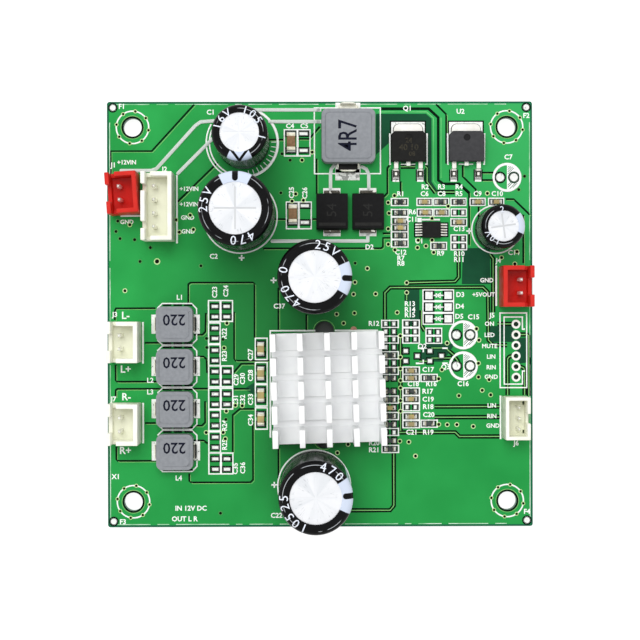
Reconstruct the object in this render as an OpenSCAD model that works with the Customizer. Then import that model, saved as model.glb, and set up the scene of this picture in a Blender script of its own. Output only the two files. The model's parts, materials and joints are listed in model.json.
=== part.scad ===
// Stereo audio amplifier board: a populated circuit board with a pin-fin heat sink,
// upright electrolytic capacitors, power inductors and shrouded wire headers.
// Origin: middle of the four mounting holes, on the board's underside.
// +X runs to the right edge, +Y to the back edge, +Z out of the component side.

/* [Board] */
// Width of the board, left to right
board_w = 80; // [80:1:100]
// Depth of the board, front to back
board_d = 80; // [80:1:100]
// Thickness of the laminate
board_t = 1.6; // [0.8:0.1:2.4]
// Radius of the board's corners
corner_r = 0.5; // [0.2:0.1:2]
// Distance of the mounting holes from the edges
mount_inset = 4.8; // [3.6:0.1:5]
// Diameter of the mounting holes
mount_hole_d = 3.5; // [2.5:0.1:4]
// Thickness of the tinned pads
pad_t = 0.05; // [0.03:0.01:0.1]
// Thickness of the solder on the bare power tracks
bar_t = 0.15; // [0.1:0.01:0.3]
// Width of the bare power tracks
bar_w = 0.65; // [0.4:0.05:0.8]
// Length of the clipped leads below the board
stub = 1.5; // [1:0.1:2.5]
// Width of the solder collar round a lead hole
collar_w = 0.4; // [0.3:0.05:0.5]
// Clearance between a lead and its hole in the board
hole_clear = 0.2; // [0.1:0.05:0.3]
// Clearance between a lead and the solder round it
solder_fit = 0.02; // [0:0.01:0.05]

/* [Heat sink] */
// Side of the square heat sink
sink_w = 20.6; // [18:0.2:22]
// Height of the heat sink, base and fins
sink_h = 11; // [6:0.5:16]
// Thickness of the heat sink's base
sink_base_t = 2; // [1.5:0.1:3]
// Thickness of a fin
fin_t = 1; // [0.7:0.05:1.6]
// Length of a fin between the cross cuts
fin_l = 3.2; // [2:0.1:3.6]
// Fins across the heat sink
fin_columns = 5; // [3:1:6]
// Fins along the heat sink
fin_rows = 5; // [3:1:5]
// Depth of the cross cuts below the fins' feet
cross_cut = 0.3; // [0.1:0.1:0.8]
// Turn of the heat sink as it was stuck down
sink_turn = 1.5; // [0:0.5:3]
// Place of the heat sink's middle, left to right
sink_x = 1.35; // [0:0.05:2]
// Place of the heat sink's middle, front to back
sink_y = -13.65; // [-14:0.05:-13]
// Thickness of the thermal pad
thermal_t = 0.5; // [0.2:0.1:1]
// Diameter of the two spare holes beside the heat sink
sink_hole_d = 3.7; // [3:0.1:4]
// Distance between the two spare holes
sink_hole_span = 20.3; // [19:0.1:21]
// Gap between the heat sink and the capacitor in front of it
sink_gap = 1.7; // [1:0.1:2.4]

/* [Chips] */
// Side of the square amplifier chip
amp_w = 7; // [5:0.5:9]
// Height of the amplifier chip
amp_h = 1; // [0.8:0.1:1.4]
// Pitch of the amplifier chip's leads
amp_pitch = 0.5; // [0.4:0.05:0.55]
// Length of the driver chip across its leads
driver_w = 3.5; // [3:0.1:4]
// Depth of the driver chip
driver_d = 3; // [2.8:0.1:3.4]
// Height of the driver chip
driver_h = 0.9; // [0.8:0.05:1.4]
// Pitch of the driver chip's leads
driver_pitch = 0.5; // [0.4:0.05:0.6]
// Thickness of the chips' leads
lead_t = 0.15; // [0.1:0.01:0.2]
// Width of the chips' leads
lead_w = 0.22; // [0.15:0.01:0.3]
// Reach of the chips' leads from the body
lead_out = 0.45; // [0.3:0.05:0.6]
// Length of the foot of the chips' leads
lead_foot = 0.55; // [0.4:0.05:0.7]
// Draft of the chips' moulded sides
chip_draft = 0.1; // [0.05:0.01:0.2]

/* [Electrolytic capacitors] */
// Diameter of the three large capacitors
large_d = 13.2; // [11:0.1:14]
// Height of the three large capacitors
large_h = 20; // [14:0.5:26]
// Diameter of the input capacitor
middle_d = 10; // [8:0.1:12]
// Height of the input capacitor
middle_h = 16.5; // [12:0.5:22]
// Diameter of the small output capacitor
small_d = 8; // [6.4:0.1:9]
// Height of the small output capacitor
small_h = 11.5; // [8:0.5:16]
// Lead pitch of the large and input capacitors
can_pitch = 5; // [4:0.1:5.4]
// Lead pitch of the small capacitor
small_can_pitch = 3.5; // [2.5:0.1:3.8]
// Diameter of the capacitors' leads
can_lead_d = 0.7; // [0.5:0.05:0.9]
// Thickness of the plastic sleeve
sleeve_t = 0.25; // [0.15:0.05:0.4]
// Share of a capacitor's radius that the sleeve leaves open on top
sleeve_open = 0.7; // [0.6:0.01:0.8]
// Radius of the can's top edge
can_edge_r = 0.9; // [0.5:0.1:1.4]
// Height of the rolled bead above the board
bead_z = 2.6; // [2.2:0.1:3.5]
// Radius of the tool that rolls the bead
bead_r = 0.8; // [0.5:0.1:1]
// Depth of the rolled bead
bead_depth = 0.5; // [0.2:0.1:0.7]
// Thickness of the rubber seal
seal_t = 1.4; // [1:0.1:1.6]
// Thickness of the can's wall at its mouth
can_wall = 0.5; // [0.3:0.1:0.8]
// Width of the score lines on the can's top
score_w = 0.3; // [0.2:0.05:0.5]
// Depth of the score lines
score_depth = 0.12; // [0.05:0.01:0.2]

/* [Inductors] */
// Side of the boost inductor
boost_w = 10; // [9:0.1:10.6]
// Height of the boost inductor's core
boost_h = 3.7; // [2.5:0.1:5]
// Width of the boost inductor's terminals
boost_tab_w = 4.1; // [3:0.1:5]
// Reach of the boost inductor's terminals past the core
boost_tab_out = 1.45; // [1:0.05:1.6]
// Width of a filter inductor, across its terminals
filter_w = 6.8; // [6:0.1:7.2]
// Depth of a filter inductor
filter_d = 6.6; // [6:0.1:7.2]
// Height of a filter inductor's core
filter_h = 2.8; // [2:0.1:4]
// Width of a filter inductor's terminals
filter_tab_w = 3; // [2:0.1:3.6]
// Reach of a filter inductor's terminals past the core
filter_tab_out = 0.55; // [0.4:0.05:0.7]
// Gap between the filter inductors
filter_gap = 1.35; // [0.8:0.05:1.6]
// Gap between the speaker headers and the filter inductors' terminals
filter_row_gap = 2.5; // [2:0.1:3.5]
// Gap between those terminals and the middle of the first column of bare pads
column_gap = 3.45; // [3:0.05:4]
// Distance between the two columns of bare pads
column_pitch = 2.2; // [2:0.05:2.6]
// Thickness of the inductors' terminals
tab_t = 0.25; // [0.15:0.05:0.4]
// Radius of the inductors' corners
core_r = 1.1; // [0.5:0.1:1.5]
// Height of the raised panel on a core's top
panel_t = 0.15; // [0.1:0.05:0.3]
// Width of the step round that panel
panel_step = 0.7; // [0.4:0.1:1]
// Radius of that panel's corners
panel_r = 0.8; // [0.3:0.1:1.2]

/* [Power semiconductors] */
// Width of a rectifier
rectifier_w = 5.9; // [5:0.1:6.2]
// Length of a rectifier's body
rectifier_l = 6.85; // [6:0.05:7.4]
// Height of a rectifier's body
rectifier_h = 2.2; // [1.8:0.1:2.8]
// Width of a rectifier's tabs
rectifier_tab_w = 3; // [2.4:0.1:3.4]
// Reach of a rectifier's tabs past the body
rectifier_tab_out = 0.55; // [0.4:0.05:0.7]
// Length of a rectifier's tabs under the body
rectifier_fold = 1.2; // [0.8:0.1:1.8]
// Draft of a rectifier's ends
rectifier_draft = 0.25; // [0.1:0.05:0.4]
// Gap between the two rectifiers
rectifier_gap = 0.85; // [0.4:0.05:1.5]
// Width of a power package's body
power_w = 6.5; // [6:0.1:6.8]
// Length of a power package's body
power_l = 5.6; // [5:0.1:6.2]
// Height of a power package
power_h = 2.3; // [2:0.1:2.6]
// Thickness of a power package's tab and legs
slug_t = 0.5; // [0.4:0.05:0.6]
// Width of a power package's tab
slug_w = 5.4; // [4.8:0.1:5.8]
// Length of the tab under the body
slug_in = 3; // [2:0.1:4]
// Reach of a power package's tab past the body
slug_out = 1.5; // [1:0.1:1.8]
// Radius of the tab's outer corners
slug_r = 1; // [0.5:0.1:1.4]
// Corners cut off the body beside the tab
power_cut = 0.6; // [0.3:0.05:1]
// Distance between a power package's outer legs
leg_span = 4.6; // [4.2:0.1:5]
// Width of a power package's legs
leg_w = 0.8; // [0.6:0.05:1]
// Length of a power package's legs
leg_l = 2.9; // [2.4:0.1:3.2]
// Length of the middle leg, which is cut off
short_leg_l = 0.8; // [0.5:0.1:1.2]
// Height at which the legs leave the body
leg_z = 1; // [0.8:0.05:1.2]

/* [Headers with 2.5 mm pitch] */
// Pitch of the pins
wide_pitch = 2.5; // [2.2:0.1:2.8]
// Distance from the end pins to the housing's ends
wide_end = 2.55; // [2.2:0.05:3]
// Depth of the housing, across the pins
wide_depth = 5.75; // [5:0.05:6.5]
// Height of the housing above the board
wide_h = 7; // [5:0.1:9]
// Thickness of the housing's walls
wide_wall = 0.8; // [0.5:0.1:1.2]
// Thickness of the housing's floor
wide_floor = 2.3; // [1.5:0.1:3]
// Width across a square pin
wide_pin = 0.64; // [0.5:0.02:0.8]
// Distance of the pins from the housing's middle, towards the keyed wall
wide_pin_off = 0.55; // [0:0.05:0.7]
// Width of the key gap in a two-pin housing
key_gap_w = 3.1; // [2:0.1:3.6]
// Width of each key slot in a four-pin housing
key_slot_w = 1.3; // [0.8:0.1:1.6]
// Distance from the housing's end to the middle of a key slot
key_slot_end = 2.85; // [2.2:0.05:3.2]
// Width of the slits in the end walls, behind the keyed wall
slit_w = 1; // [0.6:0.1:1.4]
// Distance from the board's edge to the headers beside it
edge_gap = 0.6; // [0.2:0.1:1.5]
// Distance between the two header rows on the left
row_gap = 0.65; // [0.5:0.05:1.5]
// Turn of the power header as it was soldered
power_turn = 4; // [0:1:5]

/* [Header with 2 mm pitch] */
// Pitch of the pins
fine_pitch = 2; // [1.9:0.05:2.2]
// Distance from the end pins to the housing's ends
fine_end = 1.95; // [1.7:0.05:2.4]
// Depth of the housing, across the pins
fine_depth = 4.6; // [4:0.1:5.2]
// Height of the housing above the board
fine_h = 6; // [4.5:0.1:7]
// Thickness of the housing's walls
fine_wall = 0.6; // [0.4:0.1:0.9]
// Thickness of the housing's floor
fine_floor = 1.8; // [1.2:0.1:2.4]
// Width across a square pin
fine_pin = 0.5; // [0.4:0.02:0.6]
// Distance of the pins from the housing's middle, towards the keyed wall
fine_pin_off = 0.3; // [0:0.05:0.5]
// Width of the key slot
fine_slot_w = 1.8; // [1:0.1:2.4]
// Width of the two vents in the floor, behind the keyed wall
vent_w = 0.35; // [0.2:0.05:0.6]
// Length of those vents
vent_l = 0.65; // [0.4:0.05:1]
// Distance from the board's edge to the housing
fine_edge_gap = 1.2; // [0.6:0.1:2]
// Drop of every header's pin tips below the rim
tip_drop = 0.9; // [0.4:0.1:1.6]
// Height of the key cuts above the floor of a housing
key_sill = 1.2; // [0.6:0.1:2]
// Diameter of the open holes of the spare header
spare_hole_d = 0.9; // [0.7:0.05:1]
// Distance from the board's edge to those holes
spare_edge = 3.1; // [2.5:0.1:4]
// Pins that the spare header would have
spare_pins = 6; // [4:1:6]

/* [Chip components] */
// Length of a small chip
small_chip_l = 1.6; // [1.4:0.05:1.8]
// Width of a small chip
small_chip_w = 0.8; // [0.6:0.05:1]
// Height of a small chip
small_chip_h = 0.5; // [0.3:0.05:0.8]
// Length of a middle chip
middle_chip_l = 2; // [1.8:0.05:2.2]
// Width of a middle chip
middle_chip_w = 1.25; // [1:0.05:1.4]
// Height of a middle chip
middle_chip_h = 0.9; // [0.5:0.05:1.3]
// Length of a large chip
large_chip_l = 3.2; // [3:0.05:3.4]
// Width of a large chip
large_chip_w = 1.6; // [1.4:0.05:1.8]
// Height of a large chip
large_chip_h = 1.3; // [0.8:0.05:1.8]
// Share of a chip's length that each metal end takes
chip_end = 0.19; // [0.15:0.01:0.25]
// Reach of a chip's pads past its ends
pad_out = 0.35; // [0.2:0.05:0.45]
// Length of a chip's pads
pad_l = 0.75; // [0.6:0.05:0.8]
// Width of a chip's pads beyond the chip's own
pad_extra = 0.15; // [0:0.05:0.3]

/* [Hidden] */
$fn = 48;
eps = 0.01;
// Height at which surface-mounted pieces sit
seat_z = board_t + pad_t;
// Heights of the amplifier chip's top and of the heat sink's underside
amp_top = seat_z + lead_t + amp_h;
sink_z = amp_top + thermal_t;
fin_pitch_x = (sink_w - fin_t) / (fin_columns - 1);
fin_pitch_y = (sink_w - fin_l) / (fin_rows - 1);
// Middle of the two spare holes, seen from the heat sink's middle
sink_hole_off = [-0.6, 0.35];
// Leads that fit along a chip's side with a bare end on each corner
chip_corner = 0.5;
amp_leads = floor((amp_w - 2 * chip_corner) / amp_pitch);
driver_leads = floor((driver_d - chip_corner) / driver_pitch);
// Length, width and height of the chip components
small_chip = [small_chip_l, small_chip_w, small_chip_h];
middle_chip = [middle_chip_l, middle_chip_w, middle_chip_h];
large_chip = [large_chip_l, large_chip_w, large_chip_h];

// Capacitors: x, y, turn of the negative lead, diameter, height, lead pitch
input_capacitor = [-14.4, 32.3, -90, middle_d, middle_h, can_pitch];
left_capacitor = [-15, 18.6, 90, large_d, large_h, can_pitch];
centre_capacitor = [-1.1, 6.6, 0, large_d, large_h, can_pitch];
lower_y = sink_y - sink_w / 2 - sink_gap - large_d / 2;
lower_capacitor = [-1, lower_y, 0, large_d, large_h, can_pitch];
output_capacitor = [33.1, 15.9, 8, small_d, small_h, small_can_pitch];
CAPACITORS = [input_capacitor, left_capacitor, centre_capacitor, lower_capacitor, output_capacitor];

// Headers: x, y, turn, pins; the keyed wall faces -X before the turn
left_row_x = -board_w / 2 + edge_gap + wide_depth / 2;
right_row_x = board_w / 2 - edge_gap - wide_depth / 2;
power_header = [left_row_x, 22.5, power_turn, 2];
link_header = [left_row_x + wide_depth + row_gap, 20, 0, 4];
supply_header = [right_row_x, 5.1, 180, 2];
left_speaker_header = [left_row_x, -5.1, 0, 2];
right_speaker_header = [left_row_x, -20.3, 0, 2];
audio_header = [board_w / 2 - fine_edge_gap - fine_depth / 2, -19.4, 180, 3];
WIDE_HEADERS = [power_header, link_header, supply_header, left_speaker_header, right_speaker_header];
spare_header = [board_w / 2 - spare_edge, -6.95];

// Inductors, rectifiers and power packages: x, y
boost_edge = 0.35;
boost_spot = [5.3, board_d / 2 - boost_edge - boost_tab_out - boost_w / 2];
filter_reach = filter_w / 2 + filter_tab_out;
filter_x = left_row_x + wide_depth / 2 + filter_row_gap + filter_reach;
FILTERS = [for (i = [0 : 3]) [filter_x, -1.8 - i * (filter_d + filter_gap)]];
RECTIFIERS = [for (i = [0, 1]) [2.25 + i * (rectifier_w + rectifier_gap), 19.2]];
switch_spot = [16.6, 31.4];
regulator_spot = [27.5, 31.4];
driver_spot = [20.95, 15.85];

// Chip components: x, y, turn
LARGE_CERAMICS = [[-5.4, 32.4, 90], [-5.1, 18.85, 90]];
ceramic_column_gap = 2.25;
ceramic_column_x = sink_x - sink_w / 2 - ceramic_column_gap;
MIDDLE_CERAMICS = [for (y = [-6.5, -11.1, -15.2, -19.7]) [ceramic_column_x, y, 90]];
// Rows of chips behind the driver chip; the other chips stand in columns
back_row_y = 21.1;
second_row_y = 19.1;
SMALL_CERAMICS = concat(
    [for (x = [19.7, 29.75, 33.2]) [x, back_row_y, 0]],
    [for (x = [19.8, 22.9]) [x, second_row_y, 0]],
    [for (y = [17.55, 16.25]) [15.1, y, 0]],
    [[26.15, 17.3, 0], [13.1, -17.65, 0]],
    [for (y = [-10.65, -12.05, -16, -19.3, -20.75]) [17.1, y, 0]]
);
SMALL_RESISTORS = concat(
    [for (x = [15.1, 22.75, 26.2]) [x, back_row_y, 0]],
    [for (y = [second_row_y, 14.8, 13.3]) [15.1, y, 0]],
    [for (y = [-7.75, -10.6, -12.05, -14.55, -16.1, -19.2, -20.75, -23.85, -25.4]) [13.1, y, 0]],
    [[22.4, 12.8, 0], [17.1, -14.6, 0], [20.5, -12.05, 0], [20.4, -20.6, 0]]
);
// Footprints with no chip on them
BARE_SMALL = concat(
    [for (y = [-1.8, -3.3, -4.75, -6.25, -9.2, -22.3]) [13.1, y, 0]],
    [for (y = [-1.8, -3.3, -4.75, -17.55]) [17.1, y, 0]],
    [for (y = [-3.4, -4.85]) [21.4, y, 0]],
    [for (y = [19.1, 14.2, 12.75]) [26.15, y, 0]]
);
column_x = filter_x + filter_reach + column_gap;
BARE_MIDDLE = concat(
    [for (y = [0.55, -3.55, -7.7, -11.7, -15.95, -19.95, -24.05, -28.15]) [column_x, y, 90]],
    [for (y = [0.55, -11.7, -15.95, -28.15]) [column_x + column_pitch, y, 90]]
);
BARE_LARGE = [[-3.05, 32.4, 90], [-2.85, 18.85, 90]];
// Bare pads of three diodes and two small transistors, and of three round capacitors
BARE_DIODES = [for (y = [3.5, 1.3, -0.9]) [22.3, y]];
bare_diode_span = 3.6;
bare_diode_pad = 1.6;
transistor_pad = [1, 0.9];
transistor_row = 1.1;
transistor_pitch = 1.9;
BARE_TRANSISTORS = [[17.2, -7.9, 0], [21.75, -7.9, 0]];
bare_round_edge = 4.75;
BARE_ROUND = [[board_w / 2 - bare_round_edge, 25.7], [26.95, -3.95], [26.95, -9.8]];
bare_round_pitch = 2.6;
bare_round_r = 0.85;
fiducial_r = 0.65;
fiducial_inset = 1.1;

// Pads of the power pieces: reach past the metal end, length, and width beyond the metal's own
boost_pad_out = 0.15;
boost_pad_l = 3;
filter_pad_out = 0.6;
filter_pad_l = 1.7;
tab_pad_w = 0.6;
rectifier_pad_out = 0.55;
rectifier_pad_l = 1.9;
rectifier_pad_w = 0.25;
slug_pad_out = 0.45;
slug_pad_l = 3.4;
slug_pad_w = 0.9;
leg_pad_out = 0.4;
leg_pad_l = 3.1;
leg_pad_w = 0.4;
// Length and width of the chips' lead pads beyond the leads' feet
lead_pad_l = 0.5;
lead_pad_w = 0.06;

// Half lengths of the two-pin and four-pin housings
two_pin_half = wide_pitch / 2 + wide_end;
four_pin_half = wide_pitch * 1.5 + wide_end;
// Clear board between a bare track and the piece that it passes
track_gap = 0.25;
track_clear = bar_w / 2 + track_gap;
// Track behind the power header, from its pin to the input capacitor
power_track_y = power_header[1] + two_pin_half + wide_depth / 2 * sin(power_turn) + track_clear;
power_track_end = [input_capacitor[0] - middle_d / 2 - track_clear, input_capacitor[1] + 4.1];
// Track that leaves the link header's corner at 45 degrees
link_track_start = [link_header[0] + wide_depth / 2 + track_clear,
                    link_header[1] + four_pin_half + track_gap];
link_track_run = input_capacitor[0] - middle_d / 2 - track_clear - link_track_start[0];
// Tracks from the input capacitor to the boost inductor
back_track_x = input_capacitor[0] + middle_d / 2;
back_track_end = boost_spot[0] - boost_w / 2 - track_clear;
boost_back_y = boost_spot[1] + boost_w / 2;
// Tracks from the boost inductor's front terminal to the rectifiers' back pads
boost_front_y = boost_spot[1] - boost_w / 2 - boost_tab_out;
boost_track_x = boost_tab_w / 2 + track_clear;
boost_left_x = boost_spot[0] - boost_track_x;
boost_right_x = boost_spot[0] + boost_track_x;
rectifier_pad_y = RECTIFIERS[0][1] + rectifier_l / 2 + rectifier_tab_out + rectifier_pad_out;
rectifier_front_y = 2 * RECTIFIERS[0][1] - rectifier_pad_y;
// Track along the back of the centre capacitor
front_track_x = left_capacitor[0] + large_d / 2 - track_clear;
front_track_y = centre_capacitor[1] + large_d / 2 + track_clear;

// Bare power tracks, as the points that each one runs through
BARS = [
    [[power_header[0] - 0.8, power_track_y], [-31.7, power_track_y], [-30.7, power_track_y + 0.35],
     [-23.4, 35.5], [-22.4, 36.2], power_track_end],
    [link_track_start, link_track_start + [link_track_run, link_track_run]],
    [[back_track_x - 3, boost_back_y + 0.25], [back_track_end, boost_back_y + 0.25]],
    [[back_track_x, boost_back_y - 1.95], [back_track_end, boost_back_y - 1.95]],
    [[boost_left_x, boost_front_y + 1.25], [boost_left_x - 0.5, boost_front_y + 0.55],
     [RECTIFIERS[0][0] - 0.25, boost_front_y - 0.35], [RECTIFIERS[0][0] - 0.25, rectifier_pad_y]],
    [[boost_right_x, boost_front_y + 0.95], [boost_right_x + 0.8, boost_front_y + 0.55],
     [RECTIFIERS[1][0] + 0.2, boost_front_y - 0.45], [RECTIFIERS[1][0] + 0.2, rectifier_pad_y]],
    [[front_track_x, front_track_y], [RECTIFIERS[1][0], front_track_y], [RECTIFIERS[1][0], rectifier_front_y]]
];

// Puts its children at a place on the board, with its turn if it has one
module at(spot) {
    translate([spot[0], spot[1], 0]) rotate(len(spot) > 2 ? spot[2] : 0) children();
}

// Rectangle round the origin with round corners
module rounded_rect(w, d, r) {
    square([w - 2 * r, d], center = true);
    square([w, d - 2 * r], center = true);
    for (x = [-1, 1], y = [-1, 1])
        translate([x * (w / 2 - r), y * (d / 2 - r)]) circle(r);
}

// Calls its children once at each of the four mounting holes
module each_mount() {
    for (x = [-1, 1], y = [-1, 1])
        translate([x * (board_w / 2 - mount_inset), y * (board_d / 2 - mount_inset), 0]) children();
}

// Hole down through the board
module through_hole(d) {
    translate([0, 0, -eps]) cylinder(d = d, h = board_t + 2 * eps);
}

// Calls its children at each pin of a header
module each_pin(header, pitch, off) {
    n = header[3];
    at(header) for (i = [0 : n - 1])
        translate([-off, (i - (n - 1) / 2) * pitch, 0]) children();
}

// Calls its children at the two leads of a capacitor
module each_can_lead(c) {
    at(c) for (s = [-1, 1]) translate([s * c[5] / 2, 0, 0]) children();
}

// Calls its children at each hole of the spare header
module each_spare_hole() {
    for (i = [0 : spare_pins - 1])
        translate([spare_header[0], spare_header[1] + (i - (spare_pins - 1) / 2) * fine_pitch, 0])
            children();
}

// Sizes of the lead holes, with room for a square pin's corners
function pin_hole_d(pin) = pin * sqrt(2) + hole_clear;
can_hole_d = can_lead_d + hole_clear;

module circuit_board() {
    color("seagreen") difference() {
        linear_extrude(board_t) rounded_rect(board_w, board_d, corner_r);
        each_mount() through_hole(mount_hole_d);
        for (s = [-1, 1])
            translate([sink_x + sink_hole_off[0], sink_y + sink_hole_off[1] + s * sink_hole_span / 2, 0])
                through_hole(sink_hole_d);
        for (c = CAPACITORS) each_can_lead(c) through_hole(can_hole_d);
        for (h = WIDE_HEADERS) each_pin(h, wide_pitch, wide_pin_off) through_hole(pin_hole_d(wide_pin));
        each_pin(audio_header, fine_pitch, fine_pin_off) through_hole(pin_hole_d(fine_pin));
        each_spare_hole() through_hole(spare_hole_d);
    }
}

// Two pads of a chip, lying along X
module chip_pads(size) {
    for (s = [-1, 1])
        translate([s * (size[0] / 2 + pad_out - pad_l / 2), 0])
            square([pad_l, size[1] + pad_extra], center = true);
}

// Pad of a tab that ends at x = end, as long as given and wider than the tab
module tab_pad(end, out, l, w) {
    translate([end + out - l, -w / 2]) square([l, w]);
}

// Row of pads under the leads on one side of a chip, which faces +X
module lead_pads(count, pitch, half_w) {
    for (i = [0 : count - 1])
        translate([half_w + lead_out + lead_foot / 2, (i - (count - 1) / 2) * pitch])
            square([lead_foot + lead_pad_l, lead_w + lead_pad_w], center = true);
}

module inductor_pads() {
    translate(boost_spot) for (q = [90, -90]) rotate(q)
        tab_pad(boost_w / 2 + boost_tab_out, boost_pad_out, boost_pad_l, boost_tab_w + tab_pad_w);
    for (f = FILTERS) translate(f) for (q = [0, 180]) rotate(q)
        tab_pad(filter_w / 2 + filter_tab_out, filter_pad_out, filter_pad_l, filter_tab_w + tab_pad_w);
}

module semiconductor_pads() {
    for (r = RECTIFIERS) translate(r) for (q = [90, -90]) rotate(q)
        tab_pad(rectifier_l / 2 + rectifier_tab_out, rectifier_pad_out, rectifier_pad_l,
                rectifier_tab_w + rectifier_pad_w);
    for (p = [switch_spot, regulator_spot]) translate(p) {
        rotate(90) tab_pad(power_l / 2 + slug_out, slug_pad_out, slug_pad_l, slug_w + slug_pad_w);
        for (s = [-1, 1]) translate([s * leg_span / 2, 0]) rotate(-90)
            tab_pad(power_l / 2 + leg_l, leg_pad_out, leg_pad_l, leg_w + leg_pad_w);
    }
    translate([sink_x, sink_y]) for (q = [0 : 90 : 270]) rotate(q)
        lead_pads(amp_leads, amp_pitch, amp_w / 2);
    translate(driver_spot) for (q = [0, 180]) rotate(q)
        lead_pads(driver_leads, driver_pitch, driver_w / 2);
}

module bare_pads() {
    for (c = BARE_SMALL) at(c) chip_pads(small_chip);
    for (c = BARE_MIDDLE) at(c) chip_pads(middle_chip);
    for (c = BARE_LARGE) at(c) chip_pads(large_chip);
    for (d = BARE_DIODES, s = [-1, 1])
        translate([d[0] + s * bare_diode_span / 2, d[1]]) square(bare_diode_pad, center = true);
    for (t = BARE_TRANSISTORS) at(t) {
        for (s = [-1, 1])
            translate([-transistor_row, s * transistor_pitch / 2]) square(transistor_pad, center = true);
        translate([transistor_row, 0]) square(transistor_pad, center = true);
    }
    for (r = BARE_ROUND, s = [-1, 1])
        translate([r[0] + s * bare_round_pitch / 2, r[1]]) circle(bare_round_r);
    for (x = [-1, 1], y = [-1, 1])
        translate([x * (board_w / 2 - fiducial_inset), y * (board_d / 2 - fiducial_inset)])
            circle(fiducial_r);
}

// Flat track of one width through a list of points
module track(points, w) {
    for (i = [0 : len(points) - 2]) {
        run = points[i + 1] - points[i];
        translate(points[i]) rotate(atan2(run[1], run[0]))
            translate([0, -w / 2]) square([norm(run), w]);
    }
    for (p = points) translate(p) circle(w / 2);
}

module solder_pads() {
    color("gainsboro") translate([0, 0, board_t]) {
        linear_extrude(pad_t) {
            for (c = concat(SMALL_CERAMICS, SMALL_RESISTORS)) at(c) chip_pads(small_chip);
            for (c = MIDDLE_CERAMICS) at(c) chip_pads(middle_chip);
            for (c = LARGE_CERAMICS) at(c) chip_pads(large_chip);
            inductor_pads();
            semiconductor_pads();
            bare_pads();
            difference() {
                each_spare_hole() circle(d = spare_hole_d + 2 * collar_w);
                each_spare_hole() circle(d = spare_hole_d);
            }
        }
        linear_extrude(bar_t) for (b = BARS) track(b, bar_w);
    }
}

// Cone of solder under the board, round a lead, with a narrow rim left at the lead's end
cone_rim = 0.05;
module solder_cone(hole_d) {
    translate([0, 0, -stub]) cylinder(h = stub, d1 = hole_d + 2 * cone_rim, d2 = hole_d + 2 * collar_w);
}

module pin_joint(pin) {
    difference() {
        solder_cone(pin_hole_d(pin));
        translate([0, 0, -stub / 2])
            cube([pin + 2 * solder_fit, pin + 2 * solder_fit, stub + 2 * eps], center = true);
    }
}

module solder_joints() {
    color("silver") {
        for (c = CAPACITORS) each_can_lead(c) difference() {
            solder_cone(can_hole_d);
            translate([0, 0, -stub - eps]) cylinder(d = can_lead_d + 2 * solder_fit, h = stub + 2 * eps);
        }
        for (h = WIDE_HEADERS) each_pin(h, wide_pitch, wide_pin_off) pin_joint(wide_pin);
        each_pin(audio_header, fine_pitch, fine_pin_off) pin_joint(fine_pin);
    }
}

module heat_sink() {
    color("whitesmoke") translate([sink_x, sink_y, sink_z]) rotate(sink_turn) {
        difference() {
            translate([-sink_w / 2, -sink_w / 2, 0]) cube([sink_w, sink_w, sink_base_t]);
            for (i = [0 : fin_rows - 2])
                translate([-sink_w / 2 - eps, -sink_w / 2 + fin_l + i * fin_pitch_y, sink_base_t - cross_cut])
                    cube([sink_w + 2 * eps, fin_pitch_y - fin_l, cross_cut + eps]);
        }
        for (i = [0 : fin_columns - 1], j = [0 : fin_rows - 1])
            translate([-sink_w / 2 + i * fin_pitch_x, -sink_w / 2 + j * fin_pitch_y, sink_base_t - eps])
                cube([fin_t, fin_l, sink_h - sink_base_t + eps]);
    }
}

module thermal_pad() {
    color("lightsteelblue") translate([sink_x - amp_w / 2, sink_y - amp_w / 2, amp_top])
        cube([amp_w, amp_w, thermal_t]);
}

// Side view of a gull-wing lead that leaves a body at x = 0
module gull_wing(out, foot, h, t) {
    translate([0, h - t / 2]) square([out, t]);
    translate([out - t, 0]) square([t, h + t / 2]);
    translate([out - t, 0]) square([foot + t, t]);
}

// Row of gull-wing leads on one side of a chip, which faces +X
module lead_row(count, pitch, half_w, h) {
    for (i = [0 : count - 1])
        translate([half_w, (i - (count - 1) / 2) * pitch, seat_z])
            rotate([90, 0, 0]) linear_extrude(lead_w, center = true)
                gull_wing(lead_out, lead_foot, h, lead_t);
}

// Side view of a moulded body: both halves are drafted to a straight band of height band
module moulded_section(w, h, draft, band) {
    polygon([for (s = [1, -1], p = [[w / 2 - draft, 0], [w / 2, (h - band) / 2], [w / 2, (h + band) / 2],
                                    [w / 2 - draft, h]])
             [s * p[0], s > 0 ? p[1] : h - p[1]]]);
}

// Moulded chip body, standing on its leads
module chip_body(w, d, h) {
    translate([0, 0, seat_z + lead_t]) rotate([90, 0, 0]) linear_extrude(d, center = true)
        moulded_section(w, h, chip_draft, lead_t);
}

// Round mark sunk into a moulded top face, which is at height z
mark_depth = 0.08;
module round_mark(d, z) {
    translate([0, 0, z - mark_depth]) cylinder(d = d, h = mark_depth + eps);
}

module amplifier_chip() {
    color("dimgray") translate([sink_x, sink_y, 0]) chip_body(amp_w, amp_w, amp_h);
}

module amplifier_chip_leads() {
    color("silver") translate([sink_x, sink_y, 0]) for (q = [0 : 90 : 270]) rotate(q)
        lead_row(amp_leads, amp_pitch, amp_w / 2, lead_t + amp_h / 2);
}

driver_mark_d = 0.5;
module driver_chip() {
    color("dimgray") translate(driver_spot) difference() {
        chip_body(driver_w, driver_d, driver_h);
        translate([-driver_w / 2 + driver_mark_d, driver_d / 2 - driver_mark_d, 0])
            round_mark(driver_mark_d, seat_z + lead_t + driver_h);
    }
}

module driver_chip_leads() {
    color("silver") translate(driver_spot) for (q = [0, 180]) rotate(q)
        lead_row(driver_leads, driver_pitch, driver_w / 2, lead_t + driver_h / 2);
}

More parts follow.
